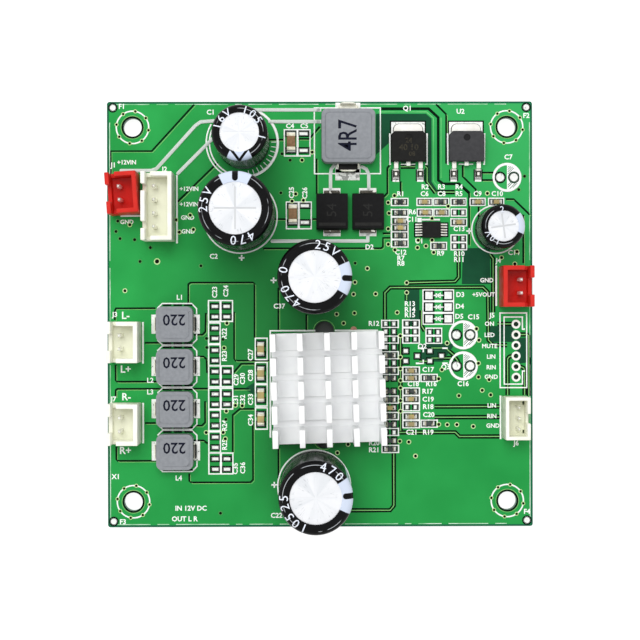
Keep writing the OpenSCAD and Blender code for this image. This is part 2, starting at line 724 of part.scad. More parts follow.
// Half section of a capacitor, grown outwards by t from the bare can
module can_section(c, t) {
    r = c[3] / 2 - sleeve_t + t;
    h = c[4] - 2 * sleeve_t + 2 * t;
    e = can_edge_r + t;
    translate([0, sleeve_t - t]) difference() {
        union() {
            square([r - e, h]);
            square([r, h - e]);
            translate([r - e, h - e]) intersection() {
                circle(e);
                square(2 * e);
            }
        }
        translate([c[3] / 2 + bead_r - bead_depth, bead_z + t - sleeve_t]) circle(bead_r + sleeve_t - t);
    }
}

// Share of the open top that the score lines cross
score_share = 0.8;
module capacitor_can(c) {
    score_l = c[3] * sleeve_open * score_share;
    color("silver") at(c) translate([0, 0, board_t]) difference() {
        rotate_extrude() can_section(c, 0);
        translate([0, 0, sleeve_t - eps])
            cylinder(r = c[3] / 2 - sleeve_t - can_wall, h = seal_t + eps);
        for (q = [0, 90]) rotate(q)
            translate([-score_l / 2, -score_w / 2, c[4] - sleeve_t - score_depth])
                cube([score_l, score_w, score_depth + eps]);
    }
}

module capacitor_sleeve(c) {
    open_r = c[3] / 2 * sleeve_open;
    color("#1c1c20") at(c) translate([0, 0, board_t]) rotate_extrude() difference() {
        can_section(c, sleeve_t);
        can_section(c, 0);
        translate([-eps, -eps]) square([open_r + eps, c[4] + 1]);
    }
}

module capacitor_leads(c) {
    color("silver") each_can_lead(c)
        translate([0, 0, -stub]) cylinder(d = can_lead_d, h = stub + board_t + sleeve_t);
}

module capacitor_seals() {
    color("#2b2b2b") for (c = CAPACITORS) at(c)
        translate([0, 0, board_t + sleeve_t])
            cylinder(r = c[3] / 2 - sleeve_t - can_wall, h = seal_t);
}

module input_capacitor_can() capacitor_can(input_capacitor);
module left_capacitor_can() capacitor_can(left_capacitor);
module centre_capacitor_can() capacitor_can(centre_capacitor);
module lower_capacitor_can() capacitor_can(lower_capacitor);
module output_capacitor_can() capacitor_can(output_capacitor);
module input_capacitor_sleeve() capacitor_sleeve(input_capacitor);
module left_capacitor_sleeve() capacitor_sleeve(left_capacitor);
module centre_capacitor_sleeve() capacitor_sleeve(centre_capacitor);
module lower_capacitor_sleeve() capacitor_sleeve(lower_capacitor);
module output_capacitor_sleeve() capacitor_sleeve(output_capacitor);
module input_capacitor_leads() capacitor_leads(input_capacitor);
module left_capacitor_leads() capacitor_leads(left_capacitor);
module centre_capacitor_leads() capacitor_leads(centre_capacitor);
module lower_capacitor_leads() capacitor_leads(lower_capacitor);
module output_capacitor_leads() capacitor_leads(output_capacitor);

// Pressed powder core with a raised panel on top, standing on its terminals
module inductor_core(w, d, h) {
    color("#8f9297") translate([0, 0, seat_z + tab_t]) {
        linear_extrude(h) rounded_rect(w, d, core_r);
        translate([0, 0, h - eps]) linear_extrude(panel_t + eps)
            rounded_rect(w - 2 * panel_step, d - 2 * panel_step, panel_r);
    }
}

// Terminal that runs under a core and ends in a raised round lug past its +X face.
// Shares: reach under the core's half, rounding of the lug's reach, height of the core
tab_reach = 0.45;
lug_round = 0.9;
lug_height = 0.5;
module inductor_terminal(half_w, out, w, core_h) {
    h = core_h * lug_height;
    reach = half_w * tab_reach;
    r = out * lug_round;
    translate([0, 0, seat_z]) {
        translate([half_w - reach, -w / 2, 0]) cube([reach, w, tab_t]);
        difference() {
            linear_extrude(h) {
                translate([half_w, -w / 2]) square([out - r, w]);
                translate([half_w, -w / 2 + r]) square([out, w - 2 * r]);
                for (s = [-1, 1]) translate([half_w + out - r, s * (w / 2 - r)]) circle(r);
            }
            translate([half_w - 2 * r, -w / 2, -eps]) cube([2 * r, w, h + 2 * eps]);
            translate([half_w - eps, -w / 2 + tab_t, tab_t]) cube([out - tab_t, w - 2 * tab_t, h]);
        }
    }
}

module boost_inductor_core() translate(boost_spot) inductor_core(boost_w, boost_w, boost_h);
module boost_inductor_terminals() {
    color("silver") translate(boost_spot) for (q = [90, -90]) rotate(q)
        inductor_terminal(boost_w / 2, boost_tab_out, boost_tab_w, boost_h);
}

module filter_core(i) translate(FILTERS[i]) inductor_core(filter_w, filter_d, filter_h);
module filter_terminals(i) {
    color("silver") translate(FILTERS[i]) for (q = [0, 180]) rotate(q)
        inductor_terminal(filter_w / 2, filter_tab_out, filter_tab_w, filter_h);
}
module filter_inductor_1_core() filter_core(0);
module filter_inductor_2_core() filter_core(1);
module filter_inductor_3_core() filter_core(2);
module filter_inductor_4_core() filter_core(3);
module filter_inductor_1_terminals() filter_terminals(0);
module filter_inductor_2_terminals() filter_terminals(1);
module filter_inductor_3_terminals() filter_terminals(2);
module filter_inductor_4_terminals() filter_terminals(3);

// Rectifier body, drafted to the line where its tabs leave it
module rectifier_body(spot) {
    color("#242424") translate([spot[0], spot[1], seat_z + tab_t])
        rotate([90, 0, 90]) linear_extrude(rectifier_w, center = true)
            moulded_section(rectifier_l, rectifier_h, rectifier_draft, tab_t);
}

// Tabs that leave the rectifier's ends, turn down and fold under it
module rectifier_tabs(spot) {
    l = rectifier_l / 2;
    h = tab_t + rectifier_h / 2;
    color("silver") translate([spot[0], spot[1], seat_z]) for (q = [90, -90]) rotate(q)
        rotate([90, 0, 0]) linear_extrude(rectifier_tab_w, center = true) {
            translate([l, h - tab_t / 2]) square([rectifier_tab_out, tab_t]);
            translate([l + rectifier_tab_out - tab_t, 0]) square([tab_t, h + tab_t / 2]);
            translate([l - rectifier_fold, 0]) square([rectifier_fold + rectifier_tab_out, tab_t]);
        }
}
module left_rectifier_body() rectifier_body(RECTIFIERS[0]);
module right_rectifier_body() rectifier_body(RECTIFIERS[1]);
module left_rectifier_tabs() rectifier_tabs(RECTIFIERS[0]);
module right_rectifier_tabs() rectifier_tabs(RECTIFIERS[1]);

// Outline of a power package's body, with its two back corners cut off
module power_outline() {
    w = power_w / 2;
    l = power_l / 2;
    polygon([[-w, -l], [w, -l], [w, l - power_cut], [w - power_cut, l],
             [-w + power_cut, l], [-w, l - power_cut]]);
}

// Metal tab of a power package, with round outer corners
module power_slug() {
    back = power_l / 2 + slug_out;
    linear_extrude(slug_t) {
        translate([-slug_w / 2, power_l / 2 - slug_in]) square([slug_w, slug_in + slug_out - slug_r]);
        translate([-slug_w / 2 + slug_r, back - slug_r]) square([slug_w - 2 * slug_r, slug_r]);
        for (s = [-1, 1]) translate([s * (slug_w / 2 - slug_r), back - slug_r]) circle(slug_r);
    }
}

// Body of a power package, with a recess that takes the metal tab
power_mark_d = 1.2;
module power_body(spot) {
    l = power_l / 2;
    color("#333333") translate([spot[0], spot[1], seat_z]) difference() {
        linear_extrude(power_h) power_outline();
        translate([-slug_w / 2, l - slug_in, -eps]) cube([slug_w, slug_in + eps, slug_t + eps]);
        translate([0, l - power_mark_d, 0]) round_mark(power_mark_d, power_h);
    }
}

// Tab, two legs and the cut-off middle leg of a power package
leg_bend = 0.45;
module power_legs(spot) {
    l = power_l / 2;
    bend = leg_l * leg_bend;
    color("silver") translate([spot[0], spot[1], seat_z]) {
        power_slug();
        for (s = [-1, 1]) translate([s * leg_span / 2, -l, 0]) rotate(-90)
            rotate([90, 0, 0]) linear_extrude(leg_w, center = true)
                gull_wing(bend, leg_l - bend, leg_z, slug_t);
        translate([-leg_w / 2, -l - short_leg_l, leg_z - slug_t / 2]) cube([leg_w, short_leg_l, slug_t]);
    }
}
module switch_body() power_body(switch_spot);
module switch_legs() power_legs(switch_spot);
module regulator_body() power_body(regulator_spot);
module regulator_legs() power_legs(regulator_spot);

// Open-topped housing of a header. Each key is the middle and width of a cut in its -X wall.
// Behind that wall the housing's children are cut away, from the floor's underside upwards
module header_housing(header, pitch, end, depth, h, wall, floor_t, pin, off, keys) {
    l = pitch * (header[3] - 1) + 2 * end;
    at(header) translate([0, 0, board_t]) difference() {
        translate([-depth / 2, -l / 2, 0]) cube([depth, l, h]);
        translate([-depth / 2 + wall, -l / 2 + wall, floor_t]) cube([depth - 2 * wall, l - 2 * wall, h]);
        for (k = keys)
            translate([-depth / 2 - eps, k[0] - k[1] / 2, floor_t + key_sill])
                cube([wall + 2 * eps, k[1], h]);
        for (i = [0 : header[3] - 1])
            translate([-off - pin / 2, (i - (header[3] - 1) / 2) * pitch - pin / 2, -eps])
                cube([pin, pin, floor_t + 2 * eps]);
        translate([-depth / 2 + wall, 0, 0]) children();
    }
}

// Square pins of a header; the tapered tip's length and end are shares of the pin's width
pin_tip = 0.8;
pin_point = 0.4;
module header_pins(header, pitch, off, pin, h) {
    tip = pin * pin_tip;
    color("lightgray") each_pin(header, pitch, off) translate([0, 0, -stub]) {
        shaft = stub + board_t + h - tip_drop - tip;
        translate([-pin / 2, -pin / 2, 0]) cube([pin, pin, shaft]);
        translate([0, 0, shaft]) linear_extrude(tip, scale = pin_point) square(pin, center = true);
    }
}

module wide_housing(header) {
    half_l = (wide_pitch * (header[3] - 1) + 2 * wide_end) / 2;
    keys = header[3] == 2
        ? [[0, key_gap_w]]
        : [for (s = [-1, 1]) [s * (half_l - key_slot_end), key_slot_w]];
    header_housing(header, wide_pitch, wide_end, wide_depth, wide_h, wide_wall, wide_floor,
                   wide_pin, wide_pin_off, keys)
        translate([0, -half_l - eps, wide_floor + key_sill]) cube([slit_w, 2 * (half_l + eps), wide_h]);
}

module wide_pins(header) header_pins(header, wide_pitch, wide_pin_off, wide_pin, wide_h);

module power_header_housing() color("#c8281e") wide_housing(power_header);
module link_header_housing() color("ivory") wide_housing(link_header);
module supply_header_housing() color("#c8281e") wide_housing(supply_header);
module left_speaker_header_housing() color("ivory") wide_housing(left_speaker_header);
module right_speaker_header_housing() color("ivory") wide_housing(right_speaker_header);
module audio_header_housing() {
    vent_y = fine_pitch + fine_end - fine_wall - vent_l;
    color("ivory") header_housing(audio_header, fine_pitch, fine_end, fine_depth, fine_h, fine_wall,
                                  fine_floor, fine_pin, fine_pin_off, [[0, fine_slot_w]])
        for (s = [-1, 1]) translate([0, s * vent_y - vent_l / 2, -eps])
            cube([vent_w, vent_l, fine_floor + 2 * eps]);
}
module power_header_pins() wide_pins(power_header);
module link_header_pins() wide_pins(link_header);
module supply_header_pins() wide_pins(supply_header);
module left_speaker_header_pins() wide_pins(left_speaker_header);
module right_speaker_header_pins() wide_pins(right_speaker_header);
module audio_header_pins() header_pins(audio_header, fine_pitch, fine_pin_off, fine_pin, fine_h);

// Middle of a chip component, between its metal ends
module chip_middles(spots, size) {
    l = size[0] * (1 - 2 * chip_end);
    for (c = spots) at(c) translate([-l / 2, -size[1] / 2, seat_z]) cube([l, size[1], size[2]]);
}

// The two metal ends of a chip component
module chip_ends(spots, size) {
    e = size[0] * chip_end;
    for (c = spots, s = [-1, 1]) at(c)
        translate([s * (size[0] - e) / 2 - e / 2, -size[1] / 2, seat_z]) cube([e, size[1], size[2]]);
}

module large_ceramic_capacitors() color("#80694f") chip_middles(LARGE_CERAMICS, large_chip);
module small_ceramic_capacitors() {
    color("#b59a5e") {
        chip_middles(MIDDLE_CERAMICS, middle_chip);
        chip_middles(SMALL_CERAMICS, small_chip);
    }
}
module chip_resistors() color("#3a3f42") chip_middles(SMALL_RESISTORS, small_chip);
module chip_terminals() {
    color("silver") {
        chip_ends(LARGE_CERAMICS, large_chip);
        chip_ends(MIDDLE_CERAMICS, middle_chip);
        chip_ends(concat(SMALL_CERAMICS, SMALL_RESISTORS), small_chip);
    }
}

circuit_board();
solder_pads();
solder_joints();
heat_sink();
thermal_pad();
amplifier_chip();
amplifier_chip_leads();
input_capacitor_can();
left_capacitor_can();
centre_capacitor_can();
lower_capacitor_can();
output_capacitor_can();
input_capacitor_sleeve();
left_capacitor_sleeve();
centre_capacitor_sleeve();
lower_capacitor_sleeve();
output_capacitor_sleeve();
input_capacitor_leads();
left_capacitor_leads();
centre_capacitor_leads();
lower_capacitor_leads();
output_capacitor_leads();
capacitor_seals();
boost_inductor_core();
boost_inductor_terminals();
filter_inductor_1_core();
filter_inductor_2_core();
filter_inductor_3_core();
filter_inductor_4_core();
filter_inductor_1_terminals();
filter_inductor_2_terminals();
filter_inductor_3_terminals();
filter_inductor_4_terminals();
left_rectifier_body();
right_rectifier_body();
left_rectifier_tabs();
right_rectifier_tabs();
switch_body();
switch_legs();
regulator_body();
regulator_legs();
driver_chip();
driver_chip_leads();
power_header_housing();
link_header_housing();
supply_header_housing();
left_speaker_header_housing();
right_speaker_header_housing();
audio_header_housing();
power_header_pins();
link_header_pins();
supply_header_pins();
left_speaker_header_pins();
right_speaker_header_pins();
audio_header_pins();
large_ceramic_capacitors();
small_ceramic_capacitors();
chip_resistors();
chip_terminals();
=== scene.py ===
"""Looks of a stereo audio amplifier board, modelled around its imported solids.

Places are in millimetres on the board: x to the right edge, y to the back edge and z up from the
board's underside. Blender works in metres, so lengths pass through MM on their way into a mesh.
"""

from __future__ import annotations

import json
import logging
import math
from contextlib import contextmanager
from dataclasses import dataclass
from enum import Enum
from functools import cache
from itertools import cycle
from typing import Callable, Iterable, Iterator, Sequence

import bpy
from mathutils import Matrix, Vector

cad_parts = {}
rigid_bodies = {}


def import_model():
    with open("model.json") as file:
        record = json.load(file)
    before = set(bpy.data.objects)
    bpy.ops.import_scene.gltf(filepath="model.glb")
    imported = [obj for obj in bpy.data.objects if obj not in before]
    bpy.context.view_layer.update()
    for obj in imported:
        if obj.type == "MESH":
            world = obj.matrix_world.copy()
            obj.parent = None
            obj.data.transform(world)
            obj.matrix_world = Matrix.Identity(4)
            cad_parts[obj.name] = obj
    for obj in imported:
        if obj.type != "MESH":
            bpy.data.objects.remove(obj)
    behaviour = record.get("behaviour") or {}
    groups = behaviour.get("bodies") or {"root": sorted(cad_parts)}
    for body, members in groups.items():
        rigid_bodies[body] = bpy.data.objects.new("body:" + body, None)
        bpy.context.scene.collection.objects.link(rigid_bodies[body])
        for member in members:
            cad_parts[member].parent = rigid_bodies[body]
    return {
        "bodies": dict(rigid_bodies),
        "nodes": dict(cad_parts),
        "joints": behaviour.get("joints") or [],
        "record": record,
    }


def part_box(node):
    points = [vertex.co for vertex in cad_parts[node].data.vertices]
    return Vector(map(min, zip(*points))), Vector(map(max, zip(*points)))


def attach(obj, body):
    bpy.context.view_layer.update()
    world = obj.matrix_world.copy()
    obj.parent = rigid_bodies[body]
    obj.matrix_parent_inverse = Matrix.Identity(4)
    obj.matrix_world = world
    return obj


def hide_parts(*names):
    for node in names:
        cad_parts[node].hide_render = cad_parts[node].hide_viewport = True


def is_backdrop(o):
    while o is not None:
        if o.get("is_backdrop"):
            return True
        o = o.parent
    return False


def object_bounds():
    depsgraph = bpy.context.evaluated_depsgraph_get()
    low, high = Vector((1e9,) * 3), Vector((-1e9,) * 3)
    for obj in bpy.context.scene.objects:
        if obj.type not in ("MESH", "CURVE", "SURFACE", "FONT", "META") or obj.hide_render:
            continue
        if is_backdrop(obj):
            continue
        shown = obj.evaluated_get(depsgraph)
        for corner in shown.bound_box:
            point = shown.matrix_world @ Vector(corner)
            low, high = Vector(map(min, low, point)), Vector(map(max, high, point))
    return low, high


LOG = logging.getLogger("amplifier_board")
MM = 0.001
BODY = "root"

Point = tuple[float, float]
Place = tuple[float, float, float]
Path = Sequence[Point]
Box = tuple[float, float, float, float]
Colour = tuple[int, int, int]
Label = tuple[str, float, float]


class Slot(Enum):
    """Material slots of the record."""

    BOARD = "board_green"
    TIN = "tinned_metal"
    PIN = "pin_metal"
    SINK = "sink_aluminium"
    CAN = "can_aluminium"
    SLEEVE = "sleeve_black"
    SEAL = "seal_rubber"
    THERMAL = "thermal_rubber"
    CORE = "core_grey"
    CHIP = "chip_black"
    PACKAGE = "package_grey"
    RED = "red_nylon"
    CREAM = "cream_nylon"
    BROWN = "ceramic_brown"
    TAN = "ceramic_tan"
    RESISTOR = "resistor_grey"


class Mark(Enum):
    """Black mark inside the pale stripe of a capacitor's sleeve."""

    DASH = "dash"
    CHEVRON = "chevron"
    NONE = "none"


class Value:
    """A socket in a node tree, whose arithmetic adds Math nodes."""

    def __init__(self, graph: Graph, socket: bpy.types.NodeSocket) -> None:
        """Keeps the socket and the graph that it belongs to."""
        self.graph = graph
        self.socket = socket

    def out(self, name: str) -> Value:
        """Another output of the same node."""
        return Value(self.graph, self.socket.node.outputs[name])

    def ramp(self, start: float, end: float) -> Value:
        """Smooth step from 0 at start to 1 at end."""
        ends = {"Value": self, "From Min": start, "From Max": end}
        return self.graph.add("ShaderNodeMapRange", {"interpolation_type": "SMOOTHSTEP"}, ends)

    def low(self, other: Term) -> Value:
        """The lower of two values."""
        return self.graph.math("MINIMUM", self, other)

    def high(self, other: Term) -> Value:
        """The higher of two values."""
        return self.graph.math("MAXIMUM", self, other)

    def __add__(self, other: Term) -> Value:
        """Sum of two values."""
        return self.graph.math("ADD", self, other)

    def __sub__(self, other: Term) -> Value:
        """Difference of two values."""
        return self.graph.math("SUBTRACT", self, other)

    def __rsub__(self, other: Term) -> Value:
        """Difference of a number and this value."""
        return self.graph.math("SUBTRACT", other, self)

    def __mul__(self, other: Term) -> Value:
        """Product of two values."""
        return self.graph.math("MULTIPLY", self, other)

    def __pow__(self, other: Term) -> Value:
        """Power of this value."""
        return self.graph.math("POWER", self, other)

    def __abs__(self) -> Value:
        """Size of this value without its sign."""
        return self.graph.math("ABSOLUTE", self)

    def __gt__(self, other: Term) -> Value:
        """1 where this value is the greater, else 0."""
        return self.graph.math("GREATER_THAN", self, other)

    __radd__ = __add__
    __rmul__ = __mul__


Term = Value | float


class Graph:
    """The node tree of a material or of the world."""

    def __init__(self, owner: bpy.types.Material | bpy.types.World) -> None:
        """Starts with the owner's tree, emptied.

        Args:
            owner: Material or world that the tree belongs to.
        """
        owner.use_nodes = True
        self.tree = owner.node_tree
        self.tree.nodes.clear()

    def add(self, kind: str, settings: dict | None = None, inputs: dict | None = None,
            output: int | str = 0) -> Value | None:
        """Adds any node.

        Args:
            kind: Type of the node.
            settings: Its own properties, which are set first.
            inputs: Values or links of its sockets, by name or number.
            output: The socket that is wanted.

        Returns:
            That output, or None from a node that ends the tree.
        """
        node = self.tree.nodes.new(kind)
        for key, setting in (settings or {}).items():
            setattr(node, key, setting)
        for key, term in (inputs or {}).items():
            self.feed(node.inputs[key], term)
        return Value(self, node.outputs[output]) if node.outputs else None

    def feed(self, socket: bpy.types.NodeSocket, term: object) -> None:
        """Links a value into a socket, or sets the socket to a constant.

        Args:
            socket: The socket.
            term: A value to link, or a constant.
        """
        if isinstance(term, Value):
            self.tree.links.new(term.socket, socket)
        else:
            socket.default_value = term

    def math(self, operation: str, *terms: Term) -> Value:
        """Result of a Math node on one, two or three terms."""
        return self.add("ShaderNodeMath", {"operation": operation}, dict(enumerate(terms)))

    def seen(self) -> Value:
        """1 for rays that show a thing, straight or in a mirror or a glass, and 0 for those that light."""
        path = self.add("ShaderNodeLightPath")
        return path.out("Is Camera Ray").high(path.out("Is Glossy Ray")).high(path.out("Is Transmission Ray"))


class Surface(Graph):
    """The node tree of one material, with a Principled shader at its end."""

    def __init__(self, name: str) -> None:
        """Starts a material of that name with its shader and its coordinates.

        Args:
            name: Name of the material.
        """
        self.material = bpy.data.materials.new(name)
        super().__init__(self.material)
        shader = self.add("ShaderNodeBsdfPrincipled")
        self.shader = shader.socket.node
        self.add("ShaderNodeOutputMaterial", None, {"Surface": shader})
        self.coordinates = self.add("ShaderNodeTexCoord", output="Object")

    def dress(self, **sockets: object) -> None:
        """Feeds the shader's sockets, whose names have _ for each space."""
        for name, term in sockets.items():
            self.feed(self.shader.inputs[name.replace("_", " ")], term)

    def local(self, centre: Place = (0.0, 0.0, 0.0), turn: float = 0.0,
              stretch: Place = (1.0, 1.0, 1.0)) -> Value:
        """Object coordinates in millimetres.

        Args:
            centre: Place that becomes the origin.
            turn: Turn about Z, in degrees.
            stretch: How much longer a pattern becomes along each axis.

        Returns:
            The coordinates as a vector.
        """
        spots = {"Vector": self.coordinates, "Location": [c * MM for c in centre],
                 "Rotation": (0.0, 0.0, math.radians(turn)), "Scale": [s * MM for s in stretch]}
        return self.add("ShaderNodeMapping", {"vector_type": "TEXTURE"}, spots)

    def split(self, vector: Value) -> tuple[Value, Value, Value]:
        """The three parts of a vector."""
        parts = self.add("ShaderNodeSeparateXYZ", inputs={"Vector": vector})
        return parts.out("X"), parts.out("Y"), parts.out("Z")

    def height(self) -> Value:
        """Height over the board's underside, in millimetres."""
        return self.split(self.local())[2]

    def around(self, centre: Point) -> Value:
        """Distance from an upright axis through a place."""
        x, y, _ = self.split(self.local((*centre, 0.0)))
        return self.reach(x, y)

    def reach(self, x: Value, y: Value) -> Value:
        """Distance from an axis, from the distances along two others."""
        return (x * x + y * y) ** 0.5

    def noise(self, vector: Value, size: float, detail: float = 2.0) -> Value:
        """Cloudy noise from 0 to 1, with clouds of about the given size in millimetres."""
        return self.add("ShaderNodeTexNoise", None, {"Vector": vector, "Scale": 1.0 / size, "Detail": detail})

    def blend(self, share: Term, first: object, second: object) -> Value:
        """First colour where the share is 0, second where it is 1."""
        return self.add("ShaderNodeMix", {"data_type": "RGBA"}, {0: share, 6: first, 7: second}, output=2)

    def relief(self, height: Value, depth: float) -> Value:
        """Normal of a surface that the height raises by up to the depth, in millimetres."""
        return self.add("ShaderNodeBump", None, {"Height": height, "Distance": depth * MM, "Strength": 1.0})


def linear(colour: Colour) -> tuple[float, float, float, float]:
    """Linear values of a colour that is written as it shows on a screen, from 0 to 255."""
    shares = [c / 255 for c in colour]
    return (*(s / 12.92 if s <= 0.04045 else ((s + 0.055) / 1.055) ** 2.4 for s in shares), 1.0)


@dataclass(frozen=True)
class Finish:
    """A surface whose colour drifts in clouds, with a grain in its gloss and relief.

    Sizes are in millimetres: of the clouds, of the grain and of the grain's depth. CLOUDS says where in their
    noise the clouds start and end, EVEN and GRAINY how much of the roughness is even and follows the grain.
    """

    CLOUDS = (0.3, 0.7)
    EVEN = 0.8
    GRAINY = 0.4

    name: str
    slot: Slot
    colour: Colour
    drift: Colour
    roughness: float = 0.5
    metallic: float = 0.0
    specular: float = 0.2
    cloud: float = 4.0
    grain: float = 0.2
    depth: float = 0.004
    stretch: Place = (1.0, 1.0, 1.0)

    def paint(self, graph: Surface, ground: Value) -> Value:
        """Colour over the drifting ground, where the finish has a pattern of its own."""
        return ground

    def relief(self, graph: Surface, grain: Value) -> Value:
        """Height of the surface, from 0 to 1."""
        return grain


@cache
def material_of(finish: Finish) -> bpy.types.Material:
    """Builds a finish's material, once.

    Args:
        finish: The finish.

    Returns:
        Its material.
    """
    graph = Surface(finish.name)
    place = graph.local(stretch=finish.stretch)
    cloud = graph.noise(place, finish.cloud).ramp(*finish.CLOUDS)
    grain = graph.noise(place, finish.grain)
    ground = graph.blend(cloud, linear(finish.colour), linear(finish.drift))
    graph.dress(Base_Color=finish.paint(graph, ground),
                Roughness=finish.roughness * (finish.EVEN + finish.GRAINY * grain),
                Normal=graph.relief(finish.relief(graph, grain), finish.depth),
                Metallic=finish.metallic, Specular_IOR_Level=finish.specular)
    return graph.material


@dataclass(frozen=True)
class MaskFinish(Finish):
    """Green solder mask over copper, with a bare border, the laminate on the cut edges, painted shade and a
    painted highlight.
    """

    border: Colour = (22, 96, 66)
    laminate: Colour = (62, 128, 98)
    # Darker green of the random patches, and of the painted shade towards the front
    shade: Colour = (28, 138, 62)
    # Painted highlight, towards the back right of the board
    bright: Colour = (58, 173, 96)
    # Painted shadow of the tall parts, round each of the spots below
    painted_shade: Colour = (31, 112, 52)
    shadow_spots: tuple[tuple[Point, float, float], ...] = (
        ((-7.0, -3.0), 31.0, 0.9), ((-14.0, 25.0), 18.0, 0.55),
        ((-1.5, -28.5), 17.0, 0.85), ((13.0, 6.5), 10.0, 0.2))
    shadow_core: float = 0.05
    half: float = 40.0
    thickness: float = 1.6
    border_w: float = 0.36
    border_soft: float = 0.05
    patch: float = 22.0
    patch_edge: Point = (0.4, 0.75)
    patch_share: float = 0.55
    front_reach: Point = (4.0, -48.0)
    front_share: float = 0.5
    highlight_reach: Point = (24.0, 80.0)
    highlight_share: float = 0.8
    skin: float = 0.02

    def paint(self, graph: Surface, ground: Value) -> Value:
        """Mask with its patches, painted shade, painted shadow and a painted highlight, its border, and the
        laminate on the cut edges and in the holes.

        Args:
            graph: The material's graph.
            ground: Colour under the pattern.

        Returns:
            The colour.
        """
        x, y, z = graph.split(graph.local())
        inner = self.half - self.border_w
        rim = abs(x).high(abs(y)).ramp(inner - self.border_soft, inner + self.border_soft)
        patches = graph.noise(graph.local(), self.patch).ramp(*self.patch_edge) * self.patch_share
        mask = graph.blend(patches, ground, linear(self.shade))
        # Painted shade towards the front
        forwards = y.ramp(*self.front_reach) * self.front_share
        front = graph.blend(forwards, mask, linear(self.shade))
        # Painted highlight towards the back right
        outwards = (x + y).ramp(*self.highlight_reach) * self.highlight_share
        with_highlight = graph.blend(outwards, front, linear(self.bright))
        middle = self.thickness / 2
        # Painted shadow round the tall parts, on the top face only
        shadowed = graph.blend(self.shadow_share(graph) * (z > middle), with_highlight, linear(self.painted_shade))
        bordered = graph.blend(rim, shadowed, linear(self.border))
        cut = abs(z - middle).ramp(middle - self.skin, middle - 2 * self.skin)
        return graph.blend(cut, bordered, linear(self.laminate))

    def shadow_share(self, graph: Surface) -> Value:
        """Share of the painted shadow round each of its spots.

        Args:
            graph: The material's graph.

        Returns:
            The share, from 0 to about 1.
        """
        share = 0.0
        for centre, reach, strength in self.shadow_spots:
            share = graph.around(centre).ramp(reach, self.shadow_core * reach) * strength + share
        return share


@dataclass(frozen=True)
class SleeveFinish(Finish):
    """Black shrink sleeve of one capacitor, with its pale stripe, painted shade down the stripe's side, the
    stripe's mark and a broken painted highlight along the shoulder.
    """

    centre: Point = (0.0, 0.0)
    turn: float = 0.0
    radius: float = 6.6
    top: float = 21.6
    stripe: float = 27.0
    mark: Mark = Mark.DASH
    stripe_colour: Colour = (204, 214, 232)
    # Colour of the stripe down the side, darker than the stripe where painted shade falls there
    side_shade: Colour = (204, 214, 232)
    ink: Colour = (12, 12, 14)
    # Painted highlight: a broken pale line round the shoulder, where it catches the light
    shoulder_highlight: Colour = (176, 180, 184)
    highlight_in: float = 0.75
    highlight_edge: Point = (0.075, 0.03)
    highlight_drop: float = 1.2
    highlight_patch: float = 3.4
    highlight_breaks: Point = (0.46, 0.54)
    stripe_soft: float = 0.012
    side_drop: Point = (0.9, 1.6)
    chevron_slope: float = 1.3
    chevron_edge: Point = (0.42, 0.34)
    chevron_drop: float = 1.4
    dash_start: float = 0.8
    dash_edge: Point = (0.56, 0.48)
    dash_end: Point = (2.5, 2.4)
    dash_pitch: float = 5.0

    def mark_share(self, graph: Surface, x: Value, y: Value, z: Value) -> Value:
        """Share of the black mark at a place, seen from the capacitor's middle.

        Args:
            graph: The material's graph.
            x: Distance along the stripe, outwards.
            y: Distance across it.
            z: Height over the board's underside.

        Returns:
            1 inside the mark and 0 outside it.
        """
        if self.mark is Mark.NONE:
            return z > self.top
        if self.mark is Mark.CHEVRON:
            arms = abs(x - (self.radius - abs(y) * self.chevron_slope))
            return arms.ramp(*self.chevron_edge) * (z > self.top - self.chevron_drop)
        short = (self.radius * self.dash_start - x).high(0.0)
        repeat = graph.math("MODULO", self.top - z, self.dash_pitch)
        return graph.reach(short, y).ramp(*self.dash_edge) * repeat.ramp(*self.dash_end)

    def paint(self, graph: Surface, ground: Value) -> Value:
        """Black film with the stripe, its painted shade down the side, its mark and a broken painted
        highlight along the shoulder.

        Args:
            graph: The material's graph.
            ground: Colour under the pattern.

        Returns:
            The colour.
        """
        x, y, z = graph.split(graph.local((*self.centre, 0.0), self.turn))
        half = math.radians(self.stripe)
        stripe = abs(graph.math("ARCTAN2", y, x)).ramp(half + self.stripe_soft, half - self.stripe_soft)
        # Below the shoulder the stripe takes its side colour: painted shade down the side
        side = z.ramp(*(self.top - drop for drop in self.side_drop))
        film = graph.blend(side, linear(self.stripe_colour), linear(self.side_shade))
        pale = graph.blend(self.mark_share(graph, x, y, z), film, linear(self.ink))
        striped = graph.blend(stripe, ground, pale)
        # Painted highlight round the shoulder, broken in patches and left off the stripe
        line = abs(graph.reach(x, y) - (self.radius - self.highlight_in)).ramp(*self.highlight_edge)
        patchy = graph.noise(graph.local(), self.highlight_patch).ramp(*self.highlight_breaks)
        with_shoulder_highlight = line * (z > self.top - self.highlight_drop) * patchy * (1.0 - stripe)
        return graph.blend(with_shoulder_highlight, striped, linear(self.shoulder_highlight))


@dataclass(frozen=True)
class SpeckledFinish(Finish):
    """Metal with small specks: dull ones as on tin that has cooled unevenly, and bright ones on the shaded
    tin that are painted glints.
    """

    speck_and_glint: Colour = (112, 116, 112)
    speck_size: float = 0.5
    speck_share: float = 0.62
    speck_soft: float = 0.06

    def paint(self, graph: Surface, ground: Value) -> Value:
        """Specks over the ground.

        Args:
            graph: The material's graph.
            ground: Colour under the pattern.

        Returns:
            The colour.
        """
        clouds = graph.noise(graph.local(), self.speck_size)
        specks = clouds.ramp(self.speck_share, self.speck_share + self.speck_soft)
        return graph.blend(specks, ground, linear(self.speck_and_glint))


